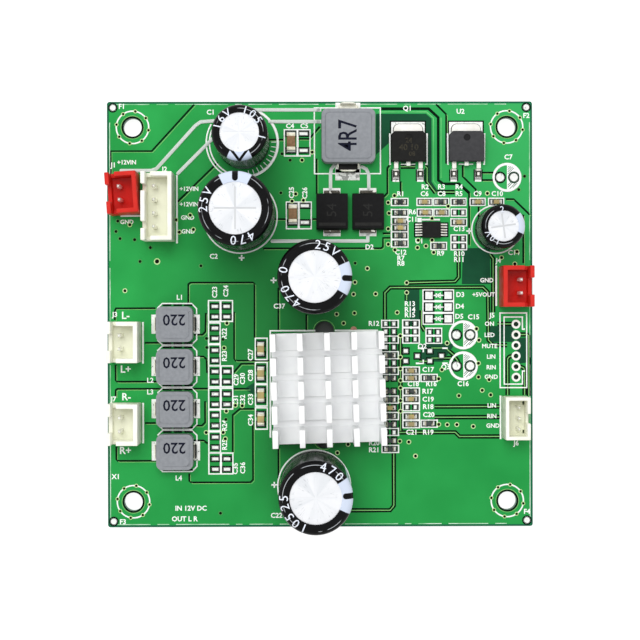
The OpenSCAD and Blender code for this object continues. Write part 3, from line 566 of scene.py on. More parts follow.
@dataclass(frozen=True)
class PadFinish(SpeckledFinish):
    """Tin on pads, and the smoother, greyer solder of the raised power tracks."""

    track: Colour = (206, 214, 208)
    track_z: float = 1.67

    def paint(self, graph: Surface, ground: Value) -> Value:
        """Speckled tin below the tracks' height, plain solder above it."""
        tin = super().paint(graph, ground)
        return graph.blend(graph.height() > self.track_z, tin, linear(self.track))


@dataclass(frozen=True)
class EndFinish(SpeckledFinish):
    """Metal ends of the chip components, dull and speckled on the low ones."""

    dull: Colour = (186, 180, 160)
    low_z: float = 2.3

    def paint(self, graph: Surface, ground: Value) -> Value:
        """Speckled dull metal up to the tops of the low chips, bright above them."""
        dull = super().paint(graph, linear(self.dull))
        return graph.blend(graph.height() > self.low_z, dull, ground)


@dataclass(frozen=True)
class LugFinish(Finish):
    """Tin of an inductor's lugs, with painted shade on one of them: on its floor, or past its rim where it
    has one.
    """

    centre: Point = (0.0, 0.0)
    turn: float = 0.0
    floor: float = 1.9
    floor_edge: Point = (0.04, 0.02)
    rim: float = 0.0
    # Painted shade on the lug
    dark: Colour = (20, 19, 18)

    def paint(self, graph: Surface, ground: Value) -> Value:
        """Painted shade on the side that the turn points to, past the rim if it has one, else on the floor.

        Args:
            graph: The material's graph.
            ground: Colour under the pattern.

        Returns:
            The colour.
        """
        x, _, z = graph.split(graph.local((*self.centre, 0.0), self.turn))
        share = (x > self.rim) if self.rim else abs(z - self.floor).ramp(*self.floor_edge) * (x > 0.0)
        return graph.blend(share, ground, linear(self.dark))


@dataclass(frozen=True)
class DottedMould(Finish):
    """Moulded package with one round dark mark."""

    centre: Point = (0.0, 0.0)
    radius: float = 0.62
    dot: Colour = (28, 28, 29)
    soft: float = 0.03

    def paint(self, graph: Surface, ground: Value) -> Value:
        """Dot on the ground."""
        share = graph.around(self.centre).ramp(self.radius + self.soft, self.radius - self.soft)
        return graph.blend(share, ground, linear(self.dot))


@dataclass(frozen=True)
class NylonFinish(Finish):
    """Moulded nylon with painted shade that darkens it down in the housing, below its rim."""

    # Painted shade down in the housing
    painted_shade: Colour = (150, 20, 16)
    floor: float = 3.5
    rim: float = 8.4

    def paint(self, graph: Surface, ground: Value) -> Value:
        """Painted shade towards the floor."""
        return graph.blend(graph.height().ramp(self.rim, self.floor), ground, linear(self.painted_shade))


@dataclass(frozen=True)
class SinkFinish(Finish):
    """Extruded aluminium with a painted highlight on the tips of its fins, which face the light."""

    # Painted highlight on the fin tips
    tip_highlight: Colour = (255, 255, 255)
    tip_z: float = 14.0

    def paint(self, graph: Surface, ground: Value) -> Value:
        """Painted highlight above the height at which the tips start."""
        return graph.blend(graph.height() > self.tip_z, ground, linear(self.tip_highlight))


@dataclass(frozen=True)
class CanFinish(Finish):
    """Drawn aluminium of one capacitor's can, with scratches from its middle, shallow dents, wedges of
    painted reflection and painted shade in its score.
    """

    centre: Point = (0.0, 0.0)
    top: float = 21.5
    dent: float = 3.0
    scratch: Colour = (176, 180, 184)
    # Painted reflection, in broad wedges round the middle
    reflection_wedge: Colour = (226, 229, 233)
    # Painted shade down in the score
    score_shade: Colour = (212, 214, 216)
    score_drop: Point = (0.02, 0.1)
    wedge_turn: float = 0.9
    wedge_size: float = 0.8
    wedge_edge: Point = (0.44, 0.64)
    fan_turn: float = 9.0
    fan_reach: float = 0.35
    fan_size: float = 0.4
    fan_detail: float = 4.0
    fan_edge: Point = (0.55, 0.72)
    worn_patch: float = 1.6
    worn_edge: Point = (0.45, 0.65)
    grain_share: float = 0.15

    def paint(self, graph: Surface, ground: Value) -> Value:
        """Wedges of painted reflection, faint scratches that run out from the middle, and painted shade in
        the score.

        Args:
            graph: The material's graph.
            ground: Colour under the pattern.

        Returns:
            The colour.
        """
        x, y, z = graph.split(graph.local((*self.centre, 0.0)))
        angle = graph.math("ARCTAN2", y, x)
        broad = {"X": angle * self.wedge_turn, "Y": self.centre[0]}
        fine = {"X": angle * self.fan_turn, "Y": graph.reach(x, y) * self.fan_reach}
        sectors = graph.add("ShaderNodeCombineXYZ", None, broad)
        rays = graph.add("ShaderNodeCombineXYZ", None, fine)
        reflection_wedges = graph.noise(sectors, self.wedge_size).ramp(*self.wedge_edge)
        fan = graph.noise(rays, self.fan_size, self.fan_detail).ramp(*self.fan_edge)
        patchy = graph.noise(graph.local(), self.worn_patch).ramp(*self.worn_edge)
        reflected = graph.blend(reflection_wedges, ground, linear(self.reflection_wedge))
        worked = graph.blend(fan * patchy, reflected, linear(self.scratch))
        scored = z.ramp(*(self.top - drop for drop in self.score_drop))
        return graph.blend(scored, worked, linear(self.score_shade))

    def relief(self, graph: Surface, grain: Value) -> Value:
        """Grain over broad shallow dents."""
        return self.grain_share * grain + graph.noise(graph.local(), self.dent)


BOARD_MASK = MaskFinish("solder_mask", Slot.BOARD, (46, 166, 80), (38, 152, 70), 0.36, specular=0.12,
                        cloud=9.0, grain=0.5, depth=0.004)
GAP_MASK = Finish("mask_over_laminate", Slot.BOARD, (4, 24, 12), (8, 34, 18), 0.42, specular=0.05, grain=0.3)
# Painted highlight along copper edges that catch the light
HIGHLIGHT_MASK = Finish("painted_highlight_on_copper_edge", Slot.BOARD, (104, 200, 118), (72, 186, 98), 0.36, grain=0.3)
FIELD_MASK = Finish("mask_over_bare_laminate", Slot.BOARD, (20, 78, 50), (16, 68, 44), 0.4, specular=0.12,
                    grain=0.3)
TRACK_MASK = Finish("mask_over_track", Slot.BOARD, (138, 200, 118), (112, 188, 102), 0.36, grain=0.3)
EDGE_MASK = Finish("mask_at_rim", Slot.BOARD, (222, 240, 226), (130, 202, 146), 0.4, cloud=3.0, grain=0.3)
VIA_RING = Finish("via_ring", Slot.BOARD, (214, 236, 176), (178, 218, 142), 0.35, grain=0.1)
TENTED_RING = Finish("tented_ring", Slot.BOARD, (92, 168, 92), (64, 142, 72), 0.36, grain=0.1)
# Painted shade: the near-black floor of each via's shallow hole stands for the dark bore
VIA_HOLE_SHADE = Finish("painted_via_shade", Slot.BOARD, (6, 10, 7), (12, 16, 10), 0.6, specular=0.05, grain=0.1)
WHITE_INK = Finish("white_print", Slot.BOARD, (254, 255, 253), (246, 250, 246), 0.6, cloud=0.8, grain=0.08)
PAD_TIN = PadFinish("levelled_tin", Slot.TIN, (250, 251, 248), (232, 235, 230), 0.34, 0.35, 0.4, cloud=0.5,
                    grain=0.3, depth=0.006, speck_share=0.66)
LEAD_TIN = Finish("tinned_leads", Slot.TIN, (248, 246, 238), (226, 222, 208), 0.34, 0.5, 0.4, cloud=1.1,
                  grain=0.12, depth=0.006)
# Painted reflection: the tabs' tin is darkened as if it mirrored dark things, and its bright specks are
# painted glints
DARK_TIN = SpeckledFinish("shaded_tin", Slot.TIN, (92, 88, 79), (54, 52, 47), 0.3, 0.6, 0.4, cloud=0.7,
                          grain=0.12, depth=0.01, speck_and_glint=(240, 238, 228), speck_size=0.7, speck_share=0.58)
CHIP_END = EndFinish("chip_end", Slot.TIN, (244, 240, 222), (220, 213, 184), 0.32, 0.4, 0.4, cloud=0.6,
                     grain=0.12, depth=0.006, speck_and_glint=(84, 82, 74), speck_share=0.52)
SLUG_TIN = Finish("slug_tin", Slot.TIN, (253, 252, 247), (244, 242, 233), 0.38, 0.35, 0.4, cloud=1.6,
                  grain=0.12, depth=0.003)
DULL_TIN = SpeckledFinish("dull_tin", Slot.TIN, (236, 238, 234), (206, 209, 204), 0.4, 0.3, 0.4, cloud=0.8,
                          grain=0.2, depth=0.01, speck_and_glint=(150, 152, 148), speck_size=0.9, speck_share=0.5)
# Painted shade on solder: the dark line round each slug and the dark solder over the legs' feet
SHADE_TIN = Finish("painted_solder_shade", Slot.TIN, (54, 52, 48), (76, 72, 66), 0.4, 0.5, cloud=0.6, grain=0.1)
SOLDER = Finish("solder", Slot.TIN, (222, 224, 224), (190, 193, 194), 0.25, 0.85, 0.5, cloud=0.6, grain=0.25,
                depth=0.01)
PIN_TIN = Finish("square_wire", Slot.PIN, (252, 252, 248), (236, 235, 228), 0.26, 0.5, 0.5, cloud=1.0,
                 grain=0.1, depth=0.003, stretch=(1.0, 1.0, 8.0))
BARE_COPPER = Finish("bare_copper", Slot.BOARD, (196, 150, 132), (168, 120, 100), 0.45, cloud=0.5, grain=0.1)
SEAL_RUBBER = Finish("seal_rubber", Slot.SEAL, (34, 34, 34), (46, 45, 44), 0.7, grain=0.2)
THERMAL_RUBBER = Finish("thermal_rubber", Slot.THERMAL, (176, 190, 206), (160, 176, 194), 0.75, grain=0.3)
CORE_POWDER = Finish("pressed_powder", Slot.CORE, (144, 147, 152), (136, 139, 144), 0.62, specular=0.3,
                     cloud=0.7, grain=0.1, depth=0.01)
CORE_INK = Finish("dark_print", Slot.CORE, (16, 18, 30), (26, 29, 46), 0.6, specular=0.1, cloud=0.5,
                  grain=0.1)
CHIP_MOULD = Finish("black_mould", Slot.CHIP, (16, 16, 17), (12, 12, 13), 0.6, cloud=0.6, grain=0.1,
                    depth=0.008)
SWITCH_MOULD = Finish("dark_mould", Slot.PACKAGE, (27, 27, 26), (22, 22, 21), 0.62, cloud=0.8, grain=0.12,
                      depth=0.01)
REGULATOR_MOULD = DottedMould("grey_mould", Slot.PACKAGE, (64, 64, 66), (58, 58, 60), 0.62, cloud=0.8,
                              grain=0.12, depth=0.01, centre=(27.5, 33.0))
BAND_INK = Finish("cathode_band", Slot.CHIP, (40, 40, 39), (34, 34, 33), 0.6, cloud=0.5, grain=0.1)
ETCHED = Finish("etched_mark", Slot.PACKAGE, (62, 58, 47), (38, 37, 33), 0.7, cloud=0.3, grain=0.1)
# Their darker colours down in the housings are painted shade
RED_NYLON = NylonFinish("red_nylon", Slot.RED, (210, 43, 33), (202, 37, 28), 0.42, specular=0.3, cloud=2.0,
                        grain=0.25, depth=0.006, painted_shade=(192, 20, 10))
CREAM_NYLON = NylonFinish("cream_nylon", Slot.CREAM, (252, 252, 243), (245, 245, 231), 0.45, specular=0.3,
                          cloud=2.0, grain=0.25, depth=0.006, painted_shade=(230, 231, 210))
BROWN_CERAMIC = Finish("brown_ceramic", Slot.BROWN, (146, 114, 84), (124, 96, 70), 0.5, cloud=0.5, grain=0.1)
TAN_CERAMIC = Finish("tan_ceramic", Slot.TAN, (186, 166, 108), (160, 146, 106), 0.48, cloud=2.2, grain=0.1)
RESISTOR_GLASS = Finish("resistor_glass", Slot.RESISTOR, (40, 46, 46), (74, 80, 78), 0.35, cloud=1.6,
                        grain=0.1)
# Painted shade in the score of a can on which it shows clearly
CLEAR_SCORE_SHADE: Colour = (212, 214, 216)
SLEEVE_PRINT = Finish("sleeve_print", Slot.SLEEVE, (238, 242, 250), (222, 230, 244), 0.4, cloud=0.6,
                      grain=0.1)


class Bench:
    """Modelling moves, each made on one object with nothing else selected.

    Edges sharper than SHARP are rounded and faces within FLAT of each other become one, both in degrees.
    Points closer than WELD, in millimetres, are merged.
    """

    SHARP = 32.0
    FLAT = 0.4
    WELD = 0.0005

    @staticmethod
    def take(obj: bpy.types.Object) -> bpy.types.Object:
        """Selects one object alone and makes it active.

        Args:
            obj: The object.

        Returns:
            The same object.
        """
        bpy.ops.object.select_all(action="DESELECT")
        obj.select_set(True)
        bpy.context.view_layer.objects.active = obj
        return obj

    @staticmethod
    @contextmanager
    def edit(obj: bpy.types.Object) -> Iterator[None]:
        """Edit mode on one object, with all of its mesh selected.

        Args:
            obj: The object.

        Returns:
            A context that leaves edit mode at its end.
        """
        Bench.take(obj)
        bpy.ops.object.mode_set(mode="EDIT")
        bpy.ops.mesh.select_all(action="SELECT")
        yield
        bpy.ops.object.mode_set(mode="OBJECT")

    @staticmethod
    def put(name: str, data: bpy.types.ID) -> bpy.types.Object:
        """Makes an object of that name from mesh or curve data and takes it.

        Args:
            name: Name of the object.
            data: Its mesh or curve.

        Returns:
            The object.
        """
        obj = bpy.data.objects.new(name, data)
        bpy.context.scene.collection.objects.link(obj)
        return Bench.take(obj)

    @staticmethod
    def select_faces(obj: bpy.types.Object, wanted: Callable[[bpy.types.MeshPolygon], bool]) -> None:
        """Leaves only the wanted faces selected, in edit mode.

        Args:
            obj: The object, in edit mode.
            wanted: Says whether a face is to be selected.
        """
        bpy.ops.mesh.select_all(action="DESELECT")
        bpy.ops.mesh.select_mode(type="FACE")
        bpy.ops.object.mode_set(mode="OBJECT")
        for face in obj.data.polygons:
            face.select = wanted(face)
        bpy.ops.object.mode_set(mode="EDIT")

    @staticmethod
    def smooth(obj: bpy.types.Object, angle: float = 35.0) -> bpy.types.Object:
        """Shades an object smooth across edges flatter than the angle, in degrees.

        Args:
            obj: The object.
            angle: Steepest angle that is smoothed.

        Returns:
            The same object.
        """
        Bench.take(obj)
        bpy.ops.object.shade_smooth_by_angle(angle=math.radians(angle))
        return obj

    @staticmethod
    def round_edges(obj: bpy.types.Object, width: float, segments: int = 2) -> None:
        """Rounds every sharp edge of an object by a width in millimetres.

        Args:
            obj: The object.
            width: Width of the rounding.
            segments: Steps across it.
        """
        bevel = Bench.take(obj).modifiers.new("edges", "BEVEL")
        bevel.width = width * MM
        bevel.segments = segments
        bevel.limit_method = "ANGLE"
        bevel.angle_limit = math.radians(Bench.SHARP)
        bevel.use_clamp_overlap = False
        bpy.ops.object.modifier_apply(modifier=bevel.name)

    @staticmethod
    def copy_node(node: bpy.types.Object, name: str, edge: float) -> bpy.types.Object:
        """Copies a node's mesh, closes it and rounds its edges.

        Args:
            node: The node.
            name: Name of the copy.
            edge: Width of the rounding in millimetres, or 0 for none.

        Returns:
            The copy.
        """
        copy = Bench.put(name, node.data.copy())
        with Bench.edit(copy):
            bpy.ops.mesh.remove_doubles(threshold=Bench.WELD * MM)
            bpy.ops.mesh.dissolve_limited(angle_limit=math.radians(Bench.FLAT))
        if edge:
            Bench.round_edges(copy, edge)
        return Bench.smooth(copy)

    @staticmethod
    def place_copies(model: bpy.types.Object, spots: Iterable[Matrix], name: str) -> bpy.types.Object:
        """Copies a model to each spot, each with a mesh of its own, and joins them.

        Args:
            model: The model, at the origin. It is used up.
            spots: Places, in metres.
            name: Name of the joined piece.

        Returns:
            The joined piece.
        """
        copies = []
        for spot in spots:
            mesh = model.data.copy()
            mesh.transform(spot)
            copies.append(Bench.put(name, mesh))
        bpy.data.objects.remove(model)
        return Bench.join(copies, name)

    @staticmethod
    def join(parts: Sequence[bpy.types.Object], name: str) -> bpy.types.Object:
        """Joins parts into one object of that name.

        Args:
            parts: The parts, which are used up.
            name: Name of the whole.

        Returns:
            The whole.
        """
        Bench.take(parts[0])
        for part in parts:
            part.select_set(True)
        if len(parts) > 1:
            bpy.ops.object.join()
        parts[0].name = name
        return parts[0]


def ring(x: float, y: float, radius: float, sides: int = 40) -> Path:
    """Closed circle round a place."""
    return arc(x, y, radius, 0.0, 360.0, sides)


def arc(x: float, y: float, radius: float, start: float, end: float, sides: int = 24) -> Path:
    """Arc round a place, between two angles in degrees."""
    angles = [math.radians(start + (end - start) * i / sides) for i in range(sides + 1)]
    return [(x + radius * math.cos(a), y + radius * math.sin(a)) for a in angles]


def box(left: float, front: float, right: float, back: float) -> Path:
    """Closed rectangle between two corners."""
    return [(left, front), (right, front), (right, back), (left, back), (left, front)]


def dashes(start: Point, end: Point, lengths: Sequence[float], gap: float) -> list[Path]:
    """Dashes along a straight line, whose lengths repeat, with gaps between them.

    Args:
        start: Where the line starts.
        end: Where it ends.
        lengths: Lengths of the dashes.
        gap: Gap after each of them.

    Returns:
        The dashes that fit on the line.
    """
    along = (Vector(end) - Vector(start)).normalized()
    paths, done = [], 0.0
    for length in cycle(lengths):
        if done + length > math.dist(start, end):
            return paths
        paths.append([tuple(Vector(start) + along * reach) for reach in (done, done + length)])
        done += length + gap


@dataclass(frozen=True)
class Word:
    """A printed word: its text, middle, height, turn in degrees, share of width and extra share of stroke."""

    text: str
    x: float
    y: float
    height: float
    turn: float = 0.0
    width: float = 1.0
    weight: float = 0.025


class Artwork:
    """Flat layers of copper and print, drawn as lines, fields and letters on a face."""

    @staticmethod
    def curve(name: str, paths: Iterable[Path], flat: bool) -> bpy.types.Curve:
        """Curve with one straight-sided spline for each path, closed where a path ends as it starts.

        Args:
            name: Name of the curve.
            paths: Points of each spline.
            flat: Whether it can be filled.

        Returns:
            The curve.
        """
        curve = bpy.data.curves.new(name, "CURVE")
        curve.dimensions = "2D" if flat else "3D"
        for path in paths:
            closed = len(path) > 2 and math.dist(path[0], path[-1]) < 1e-6
            points = path[:-1] if closed else path
            spline = curve.splines.new("POLY")
            spline.points.add(len(points) - 1)
            for spot, (x, y) in zip(spline.points, points):
                spot.co = (x * MM, y * MM, 0.0, 1.0)
            spline.use_cyclic_u = closed
        return curve

    @staticmethod
    def to_mesh(name: str, curve: bpy.types.Curve, z: float, squeeze: float = 1.0) -> bpy.types.Object:
        """Turns a curve into a mesh at height z, squeezed in height.

        Args:
            name: Name of the object.
            curve: The curve, at height 0.
            z: Height to lift it to.
            squeeze: Share of its own height that it keeps.

        Returns:
            The mesh object.
        """
        drawn = Bench.put(name, curve)
        bpy.ops.object.convert(target="MESH")
        with Bench.edit(drawn):
            bpy.ops.transform.resize(value=(1.0, 1.0, squeeze), center_override=(0.0, 0.0, 0.0))
            bpy.ops.transform.translate(value=(0.0, 0.0, z * MM))
        return drawn

    @staticmethod
    def lines(name: str, paths: Iterable[Path], width: float, rise: float, z: float) -> bpy.types.Object:
        """Low rounded lines along paths.

        Args:
            name: Name of the piece.
            paths: Points of each line.
            width: Width of the lines.
            rise: Height of their crest over z.
            z: Height of the face that carries them.

        Returns:
            The lines as one mesh.
        """
        curve = Artwork.curve(name, paths, flat=False)
        curve.bevel_depth = width / 2 * MM
        curve.bevel_resolution = 1
        curve.use_fill_caps = True
        return Artwork.to_mesh(name, curve, z, 2 * rise / width)

    @staticmethod
    def fields(name: str, outlines: Iterable[Path], rise: float, z: float) -> bpy.types.Object:
        """Flat filled shapes, as thick as the rise, on a face at height z.

        Args:
            name: Name of the piece.
            outlines: Closed outline of each shape.
            rise: Their thickness.
            z: Height of the face that carries them.

        Returns:
            The shapes as one mesh.
        """
        curve = Artwork.curve(name, outlines, flat=True)
        curve.fill_mode = "BOTH"
        curve.extrude = rise / 2 * MM
        return Artwork.to_mesh(name, curve, z + rise / 2)

    @staticmethod
    def letters(word: Word, rise: float, z: float) -> bpy.types.Object:
        """One word as a mesh.

        Args:
            word: The word.
            rise: How far its letters stand up.
            z: Height of the face that carries it.

        Returns:
            The word, in its place.
        """
        bpy.ops.object.select_all(action="DESELECT")
        bpy.ops.object.text_add(location=(0.0, 0.0, 0.0))
        font = bpy.context.object.data
        font.body = word.text
        font.size = word.height * MM
        font.align_x = "CENTER"
        font.align_y = "CENTER"
        font.extrude = rise / 2 * MM
        font.offset = word.weight * word.height * MM
        font.resolution_u = 2
        bpy.ops.object.convert(target="MESH")
        made = bpy.context.object
        place = Matrix.Translation((word.x * MM, word.y * MM, (z + rise / 2) * MM))
        turn = Matrix.Rotation(math.radians(word.turn), 4, "Z")
        made.data.transform(place @ turn @ Matrix.Diagonal((word.width, 1.0, 1.0, 1.0)))
        return made

    @staticmethod
    def words(name: str, words: Iterable[Word], rise: float, z: float) -> bpy.types.Object:
        """Words joined into one piece, on a face at height z."""
        return Bench.join([Artwork.letters(word, rise, z) for word in words], name)


@dataclass
class Assembly:
    """What every sub-assembly does: it takes nodes over and hands finished pieces in."""

    nodes: dict[str, bpy.types.Object]

    def hand_in(self, piece: bpy.types.Object, finish: Finish, *replaced: str) -> bpy.types.Object:
        """Gives a piece its finish and body.

        Args:
            piece: The piece.
            finish: Its finish.
            replaced: Nodes that it stands for.

        Returns:
            The piece.
        """
        piece.data.materials.clear()
        piece.data.materials.append(material_of(finish))
        if replaced:
            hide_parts(*replaced)
        return self.mount(piece, finish)

    @staticmethod
    def mount(piece: bpy.types.Object, finish: Finish) -> bpy.types.Object:
        """Puts a dressed piece on the body.

        Args:
            piece: The piece.
            finish: Its finish.

        Returns:
            The piece.
        """
        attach(piece, BODY)
        LOG.info("%s: %s, %d faces", piece.name, finish.name, len(piece.data.polygons))
        return piece

    def take_over(self, node: str, finish: Finish, edge: float) -> bpy.types.Object:
        """Finishes a copy of a node, with rounded edges, in the node's place."""
        copy = Bench.copy_node(self.nodes[node], f"{node}_finished", edge)
        return self.hand_in(copy, finish, node)

    def draw(self, name: str, paths: Iterable[Path], width: float, rise: float, z: float,
             finish: Finish) -> None:
        """Hands in low rounded lines along paths, on a face at height z."""
        self.hand_in(Artwork.lines(name, paths, width, rise, z), finish)

    def fill(self, name: str, outlines: Iterable[Path], rise: float, z: float, finish: Finish) -> None:
        """Hands in flat filled shapes, on a face at height z."""
        self.hand_in(Artwork.fields(name, outlines, rise, z), finish)


# Gaps in the copper on the top of the board, as the points that each one runs through
GAPS_LEFT: list[Path] = [
    [(-39.3, 26.5), (-39.3, 30.75), (-31.6, 30.75), (-23.6, 39.5)],
    [(-26.8, 21.2), (-19.2, 28.6)],
    [(-24.8, 2.2), (-24.8, 5.7), (-24.4, 6.0), (-12.7, 6.0), (-12.35, 5.7), (-12.35, -4.4)],
    [(-38.6, -1.0), (-38.6, 0.8), (-38.4, 1.2), (-31.0, 1.2)],
    [(-33.0, -5.3), (-30.2, -5.3)],
    [(-38.5, -9.4), (-38.5, -12.3), (-38.2, -12.6), (-30.0, -12.6)],
    [(-38.5, -15.4), (-38.5, -14.2), (-38.2, -13.95), (-20.8, -13.95)],
    [(-33.0, -20.4), (-31.0, -20.4)],
    [(-38.4, -24.8), (-38.4, -27.2), (-38.1, -27.5), (-31.0, -27.5)],
    [(-23.7, -3.8), (-22.2, -3.8), (-21.6, -3.2), (-21.5, 0.3)],
    [(-23.6, -7.9), (-22.0, -7.9), (-21.4, -8.4), (-21.3, -11.0)],
    [(-21.7, -16.3), (-21.7, -20.3), (-22.3, -20.9), (-23.6, -20.9)],
    [(-24.0, -23.7), (-22.0, -23.7), (-21.2, -24.3)],
    [(-16.2, 0.5), (-16.2, -8.3), (-15.9, -8.7), (-9.6, -8.7)],
    [(-12.4, -9.3), (-14.9, -9.3), (-16.3, -10.9)],
    [(-16.4, -14.0), (-13.4, -14.0)],
    [(-12.4, -17.8), (-15.2, -17.8), (-16.5, -18.9), (-16.5, -25.9)],
    [(-24.7, -29.9), (-24.7, -31.3), (-24.3, -31.6), (-13.2, -31.6), (-12.7, -31.1), (-12.7, -20.0)],
]
GAPS_MIDDLE: list[Path] = [
    [(-9.5, 32.85), (-6.8, 32.85)],
    [(-4.0, 33.0), (-2.0, 33.0), (0.0, 35.3)],
    [(-0.6, 29.3), (-0.6, 22.6)],
    [(-9.0, 17.9), (-6.4, 17.9)],
    [(-1.5, 17.9), (-0.6, 17.9)],
    [(-10.7, 12.4), (11.5, 12.4), (11.85, 12.7), (11.85, 14.35), (13.3, 14.35)],
    [(11.8, 15.2), (13.3, 15.2)],
    [(-7.85, 5.0), (-7.85, -3.0)],
    [(-2.6, 0.0), (-2.6, -3.0)],
    [(-7.9, -25.0), (-7.9, -32.5)],
]
GAPS_RIGHT: list[Path] = [
    [(21.9, 39.5), (23.8, 37.6), (23.8, 28.3)],
    [(28.1, 23.0), (28.1, 13.0)],
    [(26.9, 28.0), (26.9, 25.9), (29.4, 23.4), (29.4, 22.4)],
    [(30.5, 26.6), (32.7, 26.6)],
    [(30.5, 25.2), (32.6, 25.2)],
    [(35.0, 21.6), (36.5, 21.6), (39.5, 18.7)],
    [(38.3, 18.7), (38.3, 9.5)],
    [(13.1, 28.0), (12.7, 27.5), (12.7, 22.8), (12.0, 22.1)],
    [(15.2, 25.0), (15.2, 22.2)],
    [(29.9, 20.2), (29.9, 17.6)],
]
# Wider gaps, and copper whose edge catches the light
WIDE_GAPS: list[Path] = [
    [(11.5, 38.65), (20.5, 38.65), (22.3, 37.0), (22.3, 25.2), (23.2, 24.5), (26.2, 24.5), (28.1, 22.8)],
]
PALE_STRIPS: list[Path] = [
    [(11.0, 38.05), (20.1, 38.05), (21.4, 36.9), (21.4, 25.0), (22.3, 23.9)],
    [(22.85, 37.0), (22.85, 25.6)],
]
# Tracks that run between two gaps
TRACKS: list[Path] = [
    [(16.3, 5.9), (25.4, 6.1), (26.1, 6.9), (26.1, 12.0)],
    [(32.0, 11.2), (32.6, 10.4), (32.6, 0.3)],
    [(12.2, -1.0), (12.2, 4.0), (13.2, 5.0), (30.7, 5.0), (31.6, 4.1), (31.7, -4.9), (32.5, -5.8),
     (35.2, -5.9)],
    [(16.3, 4.05), (16.3, 2.6)],
    [(19.1, 0.7), (19.1, -2.2), (19.7, -3.2)],
    [(33.4, -1.9), (36.2, -1.9)],
    [(37.6, -3.9), (39.0, -3.9), (39.3, -4.2), (39.3, -15.5)],
    [(36.2, -7.9), (35.6, -8.1), (35.3, -8.5), (35.3, -15.3)],
    [(37.6, -9.9), (38.3, -10.2), (38.5, -10.6), (38.5, -15.3)],
    [(21.5, -17.45), (33.9, -17.45)],
    [(21.5, -19.45), (33.9, -19.45)],
    [(14.8, -22.3), (25.4, -22.3), (26.2, -23.1), (33.9, -23.1)],
    [(15.1, -4.0), (15.1, -22.0)],
    [(13.8, -26.2), (13.8, -36.1), (13.1, -36.95), (5.6, -36.95)],
    [(18.6, -8.9), (20.6, -8.9), (21.0, -8.3), (25.2, -8.3)],
    [(20.9, -6.4), (23.6, -6.4), (25.0, -7.6), (26.0, -9.0)],
    [(14.6, 27.75), (19.9, 27.75), (20.2, 27.5), (20.2, 24.9), (21.8, 22.8)],
    [(22.0, 22.95), (25.4, 22.95)],
]
# Bare laminate under the mask, as outlines
BARE_FIELDS: list[Path] = [
    [(10.6, 37.7), (20.0, 37.7), (21.05, 36.8), (21.05, 24.9), (22.3, 23.0), (21.6, 22.7), (20.3, 24.6),
     (20.3, 28.4), (13.0, 28.4), (13.0, 32.2), (10.6, 30.0), (10.6, 37.7)],
    [(26.9, 12.4), (32.0, 12.4), (32.1, 5.6), (26.7, 5.6), (26.9, 12.4)],
    [(15.9, 4.6), (18.7, 4.6), (18.7, -2.2), (16.9, -2.2), (16.9, 2.4), (15.9, 2.4), (15.9, 4.6)],
    [(32.0, -2.3), (36.3, -2.3), (36.9, -4.6), (36.3, -5.3), (32.0, -5.3), (32.0, -2.3)],
    [(37.0, -4.5), (38.8, -4.5), (38.8, -9.2), (37.6, -9.4), (37.0, -8.0), (37.0, -4.5)],
    [(-14.4, -14.0), (-12.4, -12.8), (-12.4, -15.2), (-14.4, -14.0)],
    [(18.9, -5.6), (25.0, -5.6), (25.0, -6.2), (23.0, -9.0), (18.9, -9.0), (18.9, -5.6)],
]
# Vias of the copper fills
VIAS_LEFT: list[Point] = [
    (-35.75, 16.9), (-36.7, 4.5), (-27.1, 17.8), (-26.45, 15.5), (-24.4, 18.7), (-23.8, 16.0),
    (-17.55, -1.65), (-18.1, -6.3), (-17.7, -18.2), (-18.3, -22.2), (-17.9, -23.4), (-21.5, -22.2),
    (-16.0, -17.1), (-14.7, -17.2),
]
WIDE_VIAS: list[Point] = [(-30.65, 10.0)]
# Vias whose rings are under the mask
TENTED_VIAS: list[Point] = [
    (-38.0, 17.6), (-38.35, 15.65), (-37.6, 14.3), (-34.85, 14.1), (-31.9, 12.6), (-33.85, 10.0),
    (-22.4, 9.15), (-18.3, -4.7), (-21.4, -4.5), (-21.35, -6.2), (-17.8, -19.75), (-18.85, -37.4),
    (-7.1, 30.2), (-5.6, 29.0), (-7.35, 22.85), (6.6, 9.6), (38.55, 25.9), (37.45, 23.4),
]
VIAS_MIDDLE: list[Point] = [
    (-3.35, 29.0), (-1.45, 30.5), (-4.55, 22.65), (-5.25, 21.3), (-3.1, 21.45), (8.9, 8.6), (6.55, 6.0),
    (6.3, 3.75), (10.45, 3.8), (3.1, 0.0), (6.45, 0.2), (4.4, -1.7), (5.2, -24.5), (3.2, -26.1),
]
VIAS_RIGHT: list[Point] = [
    (16.3, 5.9), (16.3, 4.05), (14.5, 0.3), (12.85, 21.0), (13.0, 19.0), (12.85, 16.05), (12.85, 13.15),
    (14.1, 12.1), (14.05, 22.3), (18.35, 12.5), (18.5, 13.9), (19.95, 12.8), (21.1, 13.9), (21.4, 11.6),
    (24.15, 20.3), (21.1, 18.0), (31.55, 22.7), (34.2, 10.6), (36.7, 9.4), (37.1, 11.7), (29.45, -2.8),
    (29.9, -4.95), (29.8, -9.3), (29.8, -11.9), (31.8, -12.4), (30.5, -14.4), (32.1, -15.25), (26.1, -15.4),
    (22.3, -12.2), (22.9, -10.5), (23.9, -5.5), (22.3, -20.8), (23.9, -20.85), (25.7, -20.85),
    (28.8, -21.2), (14.95, -23.95), (16.65, -24.1), (17.9, -26.75), (15.1, -4.1), (15.1, -8.1),
    (15.1, -10.3), (15.1, -12.5), (15.1, -13.9), (15.1, -16.3), (15.1, -18.3),
]
# Rows of the diodes and middles of the round capacitors that aren't fitted
DIODE_ROWS: tuple[float, ...] = (3.5, 1.3, -0.9)
SPARE_RINGS: list[Point] = [(35.25, 25.7), (26.95, -3.95), (26.95, -9.8)]
